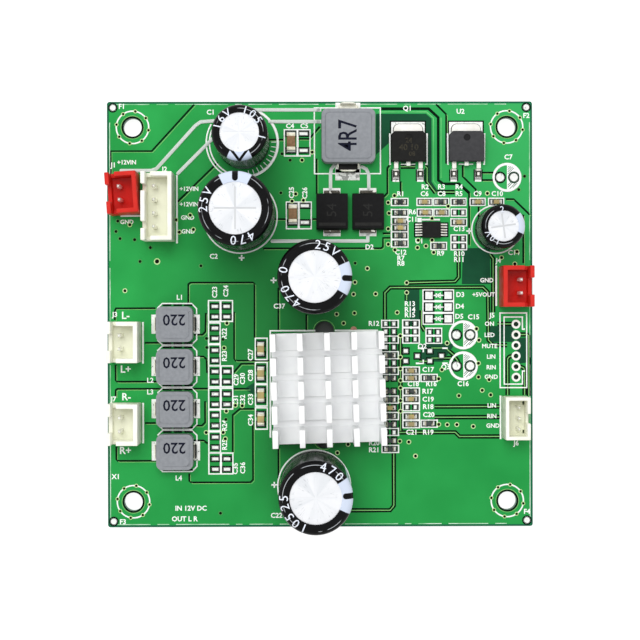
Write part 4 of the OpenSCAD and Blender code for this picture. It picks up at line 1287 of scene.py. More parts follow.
# Printed lines of one width: part outlines, as boxes and open paths
PRINT_BOXES: list[Box] = [
    (-6.75, 29.7, -4.2, 34.8), (-4.2, 29.7, -1.75, 34.8), (-6.4, 16.0, -4.0, 21.2),
    (-4.0, 16.0, -1.55, 21.2), (-1.1, 26.35, 11.5, 38.9),
    *[(-12.3, y - 4.2, -9.9, y) for y in (-4.4, -8.95, -13.15, -17.5)],
    *[(x, y - 4.1, x + 2.35, y) for x in (-21.1, -18.75) for y in (2.7, -9.6, -13.8, -26.0)],
    *[(-21.1, y - 4.1, -18.75, y) for y in (-1.5, -5.6, -17.9, -22.0)],
    *[(11.5, y - 0.75, 14.8, y + 0.75) for y in (-1.85, -4.8, -7.75, -10.7, -16.1, -19.2, -22.2, -25.4)],
    *[(15.45, y - 0.75, 18.75, y + 0.75) for y in (-1.8, -3.3, -4.8, -10.65, -12.05, -14.6, -16.05, -17.55,
                                                    -19.25, -20.75)],
    *[(18.9, y - 0.75, 22.1, y + 0.75) for y in (-12.05, -20.65)],
    *[(19.85, y - 0.75, 22.95, y + 0.75) for y in (-3.35, -4.85)],
    *[(19.3, y - 1.1, 25.2, y + 1.1) for y in DIODE_ROWS],
    *[(13.35, y - 0.75, 16.65, y + 0.75) for y in (21.1, 19.05, 17.55, 16.2, 14.8, 13.3)],
    *[(x - 1.5, 20.35, x + 1.5, 21.85) for x in (19.7, 22.85, 26.1, 29.7, 33.2)],
    *[(x - 1.5, 18.35, x + 1.5, 19.85) for x in (19.75, 22.9, 26.15)],
    *[(24.6, y - 0.75, 27.7, y + 0.75) for y in (17.25, 14.2, 12.75)], (20.8, 12.05, 23.9, 13.55),
    (33.8, -14.0, 39.0, 0.25),
]
PRINT_PATHS: list[Path] = [
    [(-0.9, -3.1), (-9.4, -3.1), (-9.4, -23.2)], [(2.7, -3.1), (10.9, -3.1)],
    [(-26.9, 26.2), (-26.9, 13.4)], [(-37.5, 18.6), (-33.5, 18.6)], [(-33.35, -1.4), (-33.35, -9.2)],
    [(-33.35, -16.6), (-33.35, -24.2)], [(33.2, 9.1), (33.2, 1.5)], [(33.95, -15.4), (33.95, -23.6)],
    [(13.2, 34.0), (13.2, 28.2), (20.2, 28.2), (20.2, 34.0)],
    [(24.1, 34.0), (24.1, 28.2), (31.0, 28.2), (31.0, 34.0)],
    [(19.2, 17.75), (22.6, 17.75)],
    [(38.55, -2.9), (38.1, -2.9), (38.1, -0.6), (34.65, -0.6), (34.65, -13.25), (38.1, -13.25), (38.1, -10.8),
     (38.55, -10.8)],
    [(18.4, -6.45), (19.4, -6.45), (19.4, -7.2)], [(18.0, -9.3), (19.4, -9.3), (19.4, -8.6)],
    [(23.0, -6.45), (24.0, -6.45)], [(23.0, -9.3), (24.0, -9.3)],
]
PLUS_SIGNS: list[Point] = [(-14.75, 10.65), (-8.75, 6.4), (-8.7, -32.1), (28.1, 15.6)]
# Printed words: text and place, first those that read from the front, then those that are turned to the right
WORDS: list[Label] = [
    ("F1", -37.2, 39.1), ("C1", -20.5, 38.0), ("J1", -38.8, 28.1), ("J2", -29.2, 27.3), ("C2", -20.0, 10.9),
    ("L1", -26.4, 3.2), ("J3", -38.6, 0.0), ("C37", -7.7, 1.5), ("C4", -5.6, 35.4), ("C5", -2.9, 35.4),
    ("Q1", 16.5, 38.7), ("R1", 15.2, 22.6), ("R2", 19.8, 23.9), ("C6", 19.7, 22.6), ("U2", 26.5, 38.1),
    ("C7", 35.5, 29.5), ("R3", 22.9, 23.9), ("C8", 22.9, 22.6), ("R4", 26.2, 23.9), ("R5", 26.2, 22.6),
    ("C9", 29.7, 22.6), ("C10", 33.4, 22.6), ("R6", 17.4, 19.2), ("C11", 17.3, 17.8), ("U1", 18.7, 13.7),
    ("D2", 9.3, 12.6), ("C12", 15.2, 11.6), ("R7", 15.2, 10.5), ("R8", 15.2, 9.5), ("R9", 22.7, 11.4),
    ("C13", 26.2, 16.0), ("R10", 26.2, 11.3), ("R11", 26.2, 10.2), ("C14", 36.5, 11.5), ("J4", 33.6, 10.0),
    ("D3", 26.4, 3.6), ("D4", 26.3, 1.4), ("D5", 26.2, -0.5), ("C15", 28.9, -0.6), ("J5", 32.4, -0.3),
    ("R12", 10.1, -1.8), ("R13", 16.9, 1.9), ("R14", 16.9, 0.8), ("R15", 16.9, -0.2), ("C16", 26.9, -13.2),
    ("J6", 36.9, -24.4), ("C17", 20.3, -10.5), ("Q2", 19.2, -6.1), ("Q3", 23.6, -10.0),
    ("R16", 20.9, -13.2), ("C18", 17.5, -13.2), ("R17", 20.2, -14.6), ("C19", 20.3, -16.1),
    ("R18", 20.3, -17.5), ("C20", 20.4, -19.0), ("C21", 17.2, -22.3), ("R19", 20.3, -22.3),
    ("L2", -32.0, -12.4), ("L3", -32.0, -14.6), ("J7", -38.9, -15.9), ("L4", -26.7, -30.8),
    ("C22", -8.3, -37.9), ("R20", 10.1, -24.3), ("R21", 10.1, -25.6), ("F2", 38.9, 37.3),
    ("F3", -37.2, -39.0), ("F4", 38.9, -37.3), ("X1", -38.5, -30.5), ("IN 12V DC", -24.4, -36.5),
    ("OUT L R", -25.6, -38.5),
]
SMALL_WORDS: list[Label] = [
    ("+12VIN", -36.3, 28.6), ("+12VIN", -24.6, 23.6), ("+12VIN", -24.6, 20.7), ("GND", -36.3, 17.4),
    ("GND", -24.9, 18.2), ("GND", -24.8, 15.6), ("GND", 31.4, 6.3), ("+5VOUT", 30.8, 3.6),
    ("ON", 31.9, -1.9), ("LED", 31.9, -4.0), ("MUTE", 31.9, -6.1), ("LIN", 32.2, -8.1),
    ("RIN", 32.2, -10.1), ("GND", 32.2, -11.9), ("LIN", 32.3, -17.3), ("RIN", 32.3, -19.3),
    ("GND", 32.5, -21.1),
]
TURNED_WORDS: list[Label] = [
    ("C23", -19.8, 4.2), ("C24", -17.7, 4.4), ("C25", -5.3, 22.9), ("C26", -2.8, 22.8),
    ("R22", -18.0, -3.6), ("R23", -18.0, -7.8), ("C27", -13.1, -7.6), ("C28", -13.1, -11.5),
    ("C29", -15.8, -12.3), ("C30", -14.6, -12.1), ("C31", -15.9, -16.2), ("C32", -14.6, -16.2),
    ("C33", -13.1, -16.0), ("C34", -13.1, -19.9), ("R24", -18.0, -20.9), ("R25", -18.0, -24.5),
    ("C35", -16.0, -29.0), ("C36", -14.6, -28.9),
]
LARGE_WORDS: list[Label] = [
    ("L-", -36.6, -0.2), ("L+", -36.6, -10.3), ("R-", -36.5, -15.5), ("R+", -36.7, -25.6),
]


@dataclass
class Board(Assembly):
    """The laminate with its mask, copper artwork, print, pads and solder."""

    half: float = 40.0
    top: float = 1.6
    slack: float = 0.02
    # Holes and vias
    mount_inset: float = 4.8
    mount_d: float = 3.5
    mount_gap: float = 0.16
    mount_edge: float = 0.42
    sink_holes: Path = ((0.75, -23.45), (0.75, -3.15))
    sink_hole_d: float = 3.7
    sink_hole_edge: float = 0.18
    stitch_count: int = 8
    stitch_radius: float = 3.05
    stitch_start: float = 80.0
    via_sides: int = 16
    via_r: float = 0.46
    via_slope: float = 0.9
    via_hole_r: float = 0.3
    via_rise: float = 0.046
    via_sink: float = 0.25
    wide_via: float = 1.35
    stitch_via: float = 0.82
    tented_via: float = 0.92
    # Copper
    gap_w: float = 0.37
    edge_w: float = 0.14
    edge_shift: float = 0.24
    wide_gap_w: float = 0.56
    strip_w: float = 0.3
    track_w: float = 0.26
    track_gap_w: float = 0.86
    field_rise: float = 0.012
    gap_rise: float = 0.016
    track_rise: float = 0.024
    copper_spot: Place = (6.3, -2.9, 0.6)
    spot_sides: int = 20
    border_inset: float = 0.5
    border_w: float = 0.16
    border_across: tuple[float, ...] = (7.5, 2.2, 10.0, 1.2, 4.4)
    border_along: tuple[float, ...] = (30.0, 17.0, 26.0)
    border_gap: float = 1.3
    # Print and dark dashes round the filter inductors
    filter_y: float = -1.8
    filter_pitch: float = 7.95
    filter_count: int = 4
    filter_x: Point = (-30.65, -23.25)
    filter_reach: float = 3.87
    filter_cut: float = 0.95
    filter_open: float = 1.9
    dash_starts: tuple[float, ...] = (-29.6, -27.6, -25.6)
    dash_reach: float = 3.6
    dash_l: float = 1.6
    dash_w: float = 0.4
    dash_rise: float = 0.046
    # Print
    print_w: float = 0.38
    thin_w: float = 0.3
    print_rise: float = 0.03
    box_inset: float = 0.09
    sign_arms: Path = ((0.55, 0.0), (0.0, 0.55))
    input_spot: Point = (-14.4, 32.3)
    input_radii: Point = (6.35, 6.95)
    input_turns: Point = (150.0, 270.0)
    input_wide_r: float = 6.5
    fitted_rings: tuple[tuple[float, float, float, int], ...] = (
        (-15.0, 18.5, 6.95, 64), (-1.2, -32.4, 6.85, 64), (33.1, 15.9, 4.5, 48))
    mount_sides: int = 48
    ring_w: float = 0.54
    ring_r: float = 2.5
    half_disc_r: float = 2.4
    hatch_r: float = 2.2
    hatch_w: float = 0.17
    hatch_start: float = 0.15
    hatch_shifts: tuple[float, ...] = (-3.0, -2.65, -2.0, -1.6, 0.5, 0.9, 1.3, 1.7)
    hatch_pad: Point = (1.3, 1.0)
    hatch_pad_sides: int = 24
    tick_w: float = 0.16
    tick_radii: Point = (5.3, 6.4)
    tick_start: float = -80.0
    tick_step: float = 9.0
    tick_count: int = 10
    driver_mark: Box = (18.35, 17.3, 19.15, 18.1)
    diode_x: float = 22.25
    word_h: float = 1.28
    small_h: float = 1.12
    large_h: float = 1.9
    large_weight: float = 0.02
    # Pads
    pad_t: float = 0.05
    pad_edge: float = 0.02
    frame_w: float = 0.26
    frame_rise: float = 0.02
    rim_w: float = 0.09
    rimmed_area: Point = (0.5, 2.6)
    level: float = 0.99
    unframed: tuple[Box, ...] = (
        (-33.0, -31.5, -22.9, 2.5), (0.0, 13.0, 11.5, 40.0), (35.9, -13.0, 37.9, -1.0))
    spare_x: float = 36.9
    spare_y: float = -1.95
    spare_pitch: float = 2.0
    spare_count: int = 6
    collar_radii: Point = (0.78, 0.46)
    collar_sides: int = 28
    diode_pads: Point = (20.5, 24.1)
    diode_pad_half: float = 0.78
    diode_rim_w: float = 0.24
    lug_solder: Box = (2.9, 25.2, 7.5, 27.3)
    track_end_x: Point = (-0.6, 0.3)
    track_end_half: float = 0.325
    track_end_rows: Point = (38.45, 36.25)
    track_end_t: float = 0.15

    def mounts(self) -> list[Point]:
        """Middles of the four mounting holes."""
        reach = self.half - self.mount_inset
        return [(x, y) for x in (-reach, reach) for y in (-reach, reach)]

    def filter_rows(self) -> list[float]:
        """Middles of the filter inductors along y, from the back."""
        return [self.filter_y - self.filter_pitch * i for i in range(self.filter_count)]

    def build(self) -> None:
        """Makes everything that belongs to the bare board."""
        board = self.nodes["circuit_board"]
        board.data.materials.clear()
        board.data.materials.append(material_of(BOARD_MASK))
        self.copper()
        self.vias()
        self.print_lines()
        self.print_words()
        self.pads()
        self.take_over("solder_joints", SOLDER, 0.0)

    def copper(self) -> None:
        """Gaps, bare fields and tracks in the copper under the mask, with painted highlights along copper
        edges and round the holes.
        """
        gaps = GAPS_LEFT + GAPS_MIDDLE + GAPS_RIGHT
        # Dark rings at the mounting holes' edges: the copper clearance, and painted shade of each hole's wall
        clear = [ring(x, y, self.mount_d / 2 + self.mount_gap) for x, y in self.mounts()]
        spokes = [path for y in self.filter_rows() for path in self.filter_dashes(y)]
        # Painted highlights: pale lines offset to one side of each gap, and pale rings round the holes
        edges = [[(x + self.edge_shift, y - self.edge_shift) for x, y in path] for path in gaps]
        edges += [ring(x, y, self.sink_hole_d / 2 + self.sink_hole_edge) for x, y in self.sink_holes]
        edges += [ring(x, y, self.mount_d / 2 + self.mount_edge) for x, y in self.mounts()]
        spot = ring(*self.copper_spot, self.spot_sides)
        self.fill("bare_fields", BARE_FIELDS, self.field_rise, self.top, FIELD_MASK)
        self.draw("copper_gaps", gaps + clear, self.gap_w, self.gap_rise, self.top, GAP_MASK)
        self.draw("inductor_dashes", spokes, self.dash_w, self.dash_rise, self.top, GAP_MASK)
        self.draw("gap_edge_highlights", edges, self.edge_w, self.gap_rise, self.top, TRACK_MASK)
        self.draw("wide_gaps", WIDE_GAPS, self.wide_gap_w, self.gap_rise, self.top, GAP_MASK)
        # Painted highlights along copper edges
        self.draw("copper_edge_highlights", PALE_STRIPS, self.strip_w, self.gap_rise, self.top, HIGHLIGHT_MASK)
        self.draw("track_gaps", TRACKS, self.track_gap_w, self.gap_rise, self.top, GAP_MASK)
        self.draw("tracks", TRACKS, self.track_w, self.track_rise, self.top, TRACK_MASK)
        self.draw("edge_lines", self.border(), self.border_w, self.gap_rise, self.top, EDGE_MASK)
        self.fill("copper_spot", [spot], self.gap_rise, self.top, BARE_COPPER)

    def border(self) -> list[Path]:
        """Broken line just inside the board's four edges.

        Returns:
            The dashes, those along the front and the back first.
        """
        reach = self.half - self.border_inset
        lines = []
        for y in (-reach, reach):
            lines += dashes((-reach, y), (reach, y), self.border_across, self.border_gap)
        for x in (-reach, reach):
            lines += dashes((x, -reach), (x, reach), self.border_along, self.border_gap)
        return lines

    def via_model(self, finish: Finish) -> bpy.types.Object:
        """One via at the origin: a raised ring that slopes into a shallow hole, whose near-black floor is
        painted shade for the bore.

        Args:
            finish: Finish of the ring.

        Returns:
            The via.
        """
        bpy.ops.object.select_all(action="DESELECT")
        bpy.ops.mesh.primitive_circle_add(vertices=self.via_sides, radius=self.via_r * MM, fill_type="NGON")
        via = bpy.context.object
        rise = self.via_rise * MM
        narrow = (self.via_slope, self.via_slope, 1.0)
        sink = (0.0, 0.0, -self.via_sink * rise)
        with Bench.edit(via):
            bpy.ops.mesh.extrude_region_move(TRANSFORM_OT_translate={"value": (0.0, 0.0, rise)})
            bpy.ops.transform.resize(value=narrow, center_override=(0.0, 0.0, 0.0))
            bpy.ops.mesh.inset(thickness=(self.via_slope * self.via_r - self.via_hole_r) * MM)
            bpy.ops.mesh.extrude_region_move(TRANSFORM_OT_translate={"value": sink})
            bpy.ops.mesh.select_all(action="SELECT")
            bpy.ops.mesh.normals_make_consistent(inside=False)
        via.data.materials.append(material_of(finish))
        via.data.materials.append(material_of(VIA_HOLE_SHADE))
        for face in via.data.polygons:
            reach = max(via.data.vertices[v].co.xy.length for v in face.vertices)
            face.material_index = 1 if reach < (self.via_hole_r + self.slack) * MM else 0
        return via

    def vias(self) -> None:
        """Vias on both faces of the board, with a ring of them round each mounting hole."""
        end = self.stitch_start - 360.0
        circle = arc(0.0, 0.0, self.stitch_radius, self.stitch_start, end, self.stitch_count)[1:]
        stitches = [tuple(Vector(hole) + Vector(spot)) for hole in self.mounts() for spot in circle]
        sized = [(spot, 1.0) for spot in VIAS_LEFT + VIAS_MIDDLE + VIAS_RIGHT]
        sized += [(spot, self.stitch_via) for spot in stitches]
        sized += [(spot, self.wide_via) for spot in WIDE_VIAS]
        tented = [(spot, self.tented_via) for spot in TENTED_VIAS]
        lift = Matrix.Translation((0.0, 0.0, self.top * MM))
        flip = Matrix.Rotation(math.pi, 4, "X")
        groups = (("vias_above", VIA_RING, lift, sized), ("tented_vias_above", TENTED_RING, lift, tented),
                  ("vias_below", VIA_RING, flip, sized + tented))
        for name, finish, face, members in groups:
            spots = []
            for (x, y), size in members:
                place = Matrix.Translation((x * MM, y * MM, 0.0))
                spots.append(place @ face @ Matrix.Diagonal((size, size, 1.0, 1.0)))
            self.mount(Bench.place_copies(self.via_model(finish), spots, name), finish)

    def print_lines(self) -> None:
        """Printed outlines, rings and signs."""
        inset = self.box_inset
        boxes = [box(left + inset, front + inset, right - inset, back - inset)
                 for left, front, right, back in PRINT_BOXES]
        thin = [outline for y in self.filter_rows() for outline in self.filter_outline(y)]
        thin += [arc(*self.input_spot, r, *self.input_turns) for r in self.input_radii]
        thin += [ring(*fitted) for fitted in self.fitted_rings]
        thin += [ring(x, y, self.stitch_radius, self.mount_sides) for x, y in self.mounts()]
        thin += [[(x - a, y - b), (x + a, y + b)] for x, y in PLUS_SIGNS for a, b in self.sign_arms]
        thin += [path for y in DIODE_ROWS for path in self.diode_sign(self.diode_x, y)]
        wide = [arc(*self.input_spot, self.input_wide_r, -90.0, 90.0)]
        wide += [ring(x, y, self.ring_r) for x, y in SPARE_RINGS]
        reach = self.half_disc_r
        halves = [[*arc(x, y, reach, -90.0, 90.0), (x, y - reach)] for x, y in SPARE_RINGS]
        halves.append(box(*self.driver_mark))
        self.draw("thin_print", thin, self.thin_w, self.print_rise, self.top, WHITE_INK)
        self.draw("print_lines", boxes + PRINT_PATHS, self.print_w, self.print_rise, self.top, WHITE_INK)
        self.draw("print_rings", wide, self.ring_w, self.print_rise, self.top, WHITE_INK)
        self.draw("print_ticks", self.ticks(), self.tick_w, self.print_rise, self.top, WHITE_INK)
        self.fill("print_fields", halves, self.gap_rise, self.top, WHITE_INK)
        self.draw("print_hatching", self.hatching(), self.hatch_w, self.print_rise, self.top, FIELD_MASK)

    def ticks(self) -> list[Path]:
        """Short strokes round a part of the input capacitor.

        Returns:
            The strokes.
        """
        x, y = self.input_spot
        turns = [math.radians(self.tick_start + self.tick_step * i) for i in range(self.tick_count)]
        return [[(x + r * math.cos(turn), y + r * math.sin(turn)) for r in self.tick_radii] for turn in turns]

    def hatching(self) -> list[Path]:
        """Slanting lines over the printed half discs, and the edge round their pads.

        Returns:
            The lines and edges.
        """
        paths = []
        pad_x, pad_r = self.hatch_pad
        for x, y in SPARE_RINGS:
            paths.append(ring(x + pad_x, y, pad_r, self.hatch_pad_sides))
            for shift in self.hatch_shifts:
                reach = math.sqrt(max(self.hatch_r ** 2 - shift ** 2 / 2, 0.0) / 2)
                start = max(-shift / 2 - reach, self.hatch_start)
                end = -shift / 2 + reach
                if end > start:
                    paths.append([(x + start, y + start + shift), (x + end, y + end + shift)])
        return paths

    @staticmethod
    def diode_sign(x: float, y: float) -> list[Path]:
        """Printed diode sign: a wire, a triangle and a bar."""
        return [[(x - 1.0, y), (x + 1.0, y)], [(x - 0.35, y - 0.4), (x - 0.35, y + 0.4)],
                [(x + 0.4, y - 0.45), (x + 0.4, y + 0.45), (x - 0.3, y), (x + 0.4, y - 0.45)]]

    def filter_dashes(self, y: float) -> list[Path]:
        """Dark dashes before and behind a filter inductor, whose middle is at y."""
        rows = (y - self.dash_reach, y + self.dash_reach)
        return [[(x, row), (x + self.dash_l, row)] for row in rows for x in self.dash_starts]

    def filter_outline(self, y: float) -> list[Path]:
        """Printed outline of a filter inductor.

        Args:
            y: Its middle.

        Returns:
            The outline's front and back.
        """
        left, right = self.filter_x
        reach, cut = self.filter_reach, self.filter_cut
        return [[(left, y + s * (reach - cut)), (left + cut, y + s * reach), (right - cut, y + s * reach),
                 (right, y + s * (reach - cut)), (right, y + s * self.filter_open)] for s in (-1, 1)]

    def print_words(self) -> None:
        """Printed designators and signs."""
        labels = [Word(text, x, y, self.word_h) for text, x, y in WORDS]
        labels += [Word(text, x, y, self.word_h, 90.0) for text, x, y in TURNED_WORDS]
        labels += [Word(text, x, y, self.small_h) for text, x, y in SMALL_WORDS]
        labels += [Word(text, x, y, self.large_h, weight=self.large_weight) for text, x, y in LARGE_WORDS]
        self.hand_in(Artwork.words("print_words", labels, self.print_rise, self.top), WHITE_INK)

    def pads(self) -> None:
        """Tinned pads with a soft edge, the dark gap in the mask round them, and loose solder."""
        self.dark_rims(self.take_over("solder_pads", PAD_TIN, self.pad_edge))
        self.hand_in(self.pad_gaps(), GAP_MASK)
        rows = [self.spare_y - self.spare_pitch * i for i in range(self.spare_count)]
        collars = [ring(self.spare_x, y, r, self.collar_sides) for y in rows for r in self.collar_radii]
        half = self.diode_pad_half
        diodes = [box(x - half, y - half, x + half, y + half) for x in self.diode_pads for y in DIODE_ROWS]
        left, right = self.track_end_x
        end = self.track_end_half
        ends = [box(left, y - end, right, y + end) for y in self.track_end_rows]
        self.fill("spare_collars", collars, self.pad_t + self.slack, self.top, SLUG_TIN)
        self.draw("pad_rims", diodes, self.diode_rim_w, self.slack, self.top + self.pad_t, GAP_MASK)
        self.fill("lug_solder", [box(*self.lug_solder)], self.pad_t, self.top, DULL_TIN)
        self.fill("track_ends", ends, self.track_end_t, self.top, PAD_TIN)

    def dark_rims(self, pads: bpy.types.Object) -> None:
        """Darkens a narrow rim round the top of each pad of a chip component.

        Args:
            pads: The finished pads.
        """
        low, high = self.rimmed_area
        pads.data.materials.append(material_of(GAP_MASK))
        with Bench.edit(pads):
            Bench.select_faces(pads, lambda face: face.normal.z > self.level
                               and low < face.area / MM ** 2 < high and self.framed(face))
            pads.active_material_index = 1
            bpy.ops.object.material_slot_assign()
            bpy.ops.mesh.inset(thickness=self.rim_w * MM)
            pads.active_material_index = 0
            bpy.ops.object.material_slot_assign()

    def framed(self, face: bpy.types.MeshPolygon) -> bool:
        """Says whether a face is of a pad with a gap round it.

        Args:
            face: A face of the pads.

        Returns:
            False for power tracks, which are thicker, and for the pads of lugs and of the spare header.
        """
        x, y, z = face.center / MM
        bare = any(left < x < right and front < y < back for left, front, right, back in self.unframed)
        return z < self.top + self.pad_t + self.slack and not bare

    def pad_gaps(self) -> bpy.types.Object:
        """Wider, lower copies of the pads that have a dark gap in the mask round them.

        Returns:
            The copies as one mesh.
        """
        frame = Bench.copy_node(self.nodes["solder_pads"], "pad_gaps", 0.0)
        with Bench.edit(frame):
            Bench.select_faces(frame, lambda face: not self.framed(face))
            bpy.ops.mesh.select_linked()
            bpy.ops.mesh.delete(type="VERT")
            bpy.ops.mesh.select_all(action="SELECT")
            bpy.ops.transform.shrink_fatten(value=self.frame_w * MM, use_even_offset=True)
        reach = (self.half - self.slack) * MM
        for vertex in frame.data.vertices:
            raised = vertex.co.z > (self.top + self.slack) * MM
            vertex.co.x = min(max(vertex.co.x, -reach), reach)
            vertex.co.y = min(max(vertex.co.y, -reach), reach)
            vertex.co.z = (self.top + (self.frame_rise if raised else 0.0)) * MM
        return frame


@dataclass
class HeatSink(Assembly):
    """The pin-fin heat sink with the chip and the pad under it."""

    edge: float = 0.05
    chip_edge: float = 0.04
    lead_edge: float = 0.02
    tip_h: float = 0.15

    def build(self) -> None:
        """Makes the heat sink and what it cools."""
        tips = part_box("heat_sink")[1].z / MM - self.tip_h
        metal = SinkFinish("extruded_aluminium", Slot.SINK, (246, 247, 247), (241, 242, 243), 0.55, 0.15, 0.5,
                           cloud=3.0, grain=0.16, depth=0.001, stretch=(1.0, 1.0, 14.0), tip_z=tips)
        self.take_over("heat_sink", metal, self.edge)
        self.take_over("thermal_pad", THERMAL_RUBBER, self.edge)
        self.take_over("amplifier_chip", CHIP_MOULD, self.chip_edge)
        self.take_over("amplifier_chip_leads", LEAD_TIN, self.lead_edge)


@dataclass
class Capacitor(Assembly):
    """One upright electrolytic capacitor: can, sleeve, leads and lettering."""

    name: str
    x: float
    y: float
    turn: float
    diameter: float
    height: float
    stripe: float
    mark: Mark
    words: Sequence[tuple[str, float]]
    board: float = 1.6
    # Colour of the stripe down the side, darker where it is painted shade
    stripe_side_shade: Colour = (204, 214, 232)
    letter_h: float = 2.3
    letter_step: float = 0.7
    letter_out: float = 0.1
    letter_cuts: int = 4
    # Painted shade in the can's score, faint unless given
    score_shade: Colour = (238, 240, 243)
    can_angle: float = 8.0
    shoulder: float = 1.15
    print_rise: float = 0.03
    film_sink: float = 0.035

    @property
    def radius(self) -> float:
        """Outer radius of the sleeve."""
        return self.diameter / 2

    @property
    def top(self) -> float:
        """Height of the sleeve's top face."""
        return self.board + self.height

    def build(self) -> None:
        """Makes the capacitor's pieces."""
        film = SleeveFinish(f"{self.name}_film", Slot.SLEEVE, (11, 11, 13), (8, 8, 9), 0.24, specular=0.11,
                            cloud=1.5, grain=3.0, depth=0.0005, centre=(self.x, self.y), turn=self.turn,
                            radius=self.radius, top=self.top, stripe=self.stripe, mark=self.mark,
                            side_shade=self.stripe_side_shade)
        can_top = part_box(f"{self.name}_can")[1].z / MM
        metal = CanFinish(f"{self.name}_aluminium", Slot.CAN, (242, 243, 246), (237, 239, 242), 0.36, 0.4,
                          0.4, cloud=2.2, grain=0.1, depth=0.015, centre=(self.x, self.y), top=can_top,
                          score_shade=self.score_shade)
        Bench.smooth(self.take_over(f"{self.name}_can", metal, 0.0), self.can_angle)
        sleeve = self.take_over(f"{self.name}_sleeve", film, 0.0)
        with Bench.edit(sleeve):
            share = 1.0 - self.film_sink / self.height
            bpy.ops.transform.resize(value=(1.0, 1.0, share), center_override=(0.0, 0.0, self.board * MM))
        self.take_over(f"{self.name}_leads", LEAD_TIN, 0.0)
        self.lettering()

    def surface(self, reach: float) -> float:
        """Height of the sleeve's top at a distance from its axis.

        Args:
            reach: The distance.

        Returns:
            The height.
        """
        past = max(reach - (self.radius - self.shoulder), 0.0)
        drop = self.shoulder - math.sqrt(max(self.shoulder ** 2 - past ** 2, 0.0))
        return self.top - self.film_sink - drop

    def lettering(self) -> None:
        """Pale figures round the top, laid down over the shoulder."""
        reach = self.radius - self.shoulder + self.letter_out
        step = math.degrees(self.letter_h * self.letter_step / reach)
        made = [self.letter(letter, reach, start - i * step)
                for text, start in self.words for i, letter in enumerate(text)]
        self.hand_in(Bench.join(made, f"{self.name}_print"), SLEEVE_PRINT)

    def letter(self, letter: str, reach: float, angle: float) -> bpy.types.Object:
        """One figure whose foot points to the axis.

        Args:
            letter: The figure.
            reach: Distance of its middle from the axis.
            angle: Its angle about the axis, in degrees.

        Returns:
            The figure, laid on the sleeve.
        """
        side = math.radians(angle)
        x, y = reach * math.cos(side), reach * math.sin(side)
        figure = Word(letter, x, y, self.letter_h, angle - 90.0, weight=0.0)
        made = Artwork.letters(figure, self.print_rise, 0.0)
        with Bench.edit(made):
            bpy.ops.mesh.quads_convert_to_tris()
            bpy.ops.mesh.subdivide(number_cuts=self.letter_cuts)
        for vertex in made.data.vertices:
            lift = self.surface(vertex.co.xy.length / MM)
            vertex.co += Vector((self.x, self.y, lift)) * MM
        return made


@dataclass
class Inductor(Assembly):
    """A pressed inductor: core, terminals and its printed value."""

    name: str
    value: str
    value_h: float
    turn: float
    lift: float = 0.0
    value_w: float = 1.0
    value_weight: float = 0.0
    lug_turn: float = 0.0
    lug_rim: float = 0.0
    lug_edge: float = 0.05
    edge: float = 0.16
    print_rise: float = 0.02

    def build(self) -> None:
        """Makes the inductor's pieces."""
        core = f"{self.name}_core"
        low, high = (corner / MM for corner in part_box(core))
        middle = (low + high) / 2
        lugs = LugFinish(f"{self.name}_lugs", Slot.TIN, (250, 249, 237), (239, 236, 218), 0.34, 0.35, 0.4,
                         cloud=1.1, grain=0.12, depth=0.006, centre=(middle.x, middle.y), turn=self.lug_turn,
                         rim=self.lug_rim)
        self.take_over(core, CORE_POWDER, self.edge)
        self.take_over(f"{self.name}_terminals", lugs, self.lug_edge)
        label = Word(self.value, middle.x, middle.y + self.lift, self.value_h, self.turn, self.value_w,
                     self.value_weight)
        self.hand_in(Artwork.words(f"{self.name}_value", [label], self.print_rise, high.z), CORE_INK)


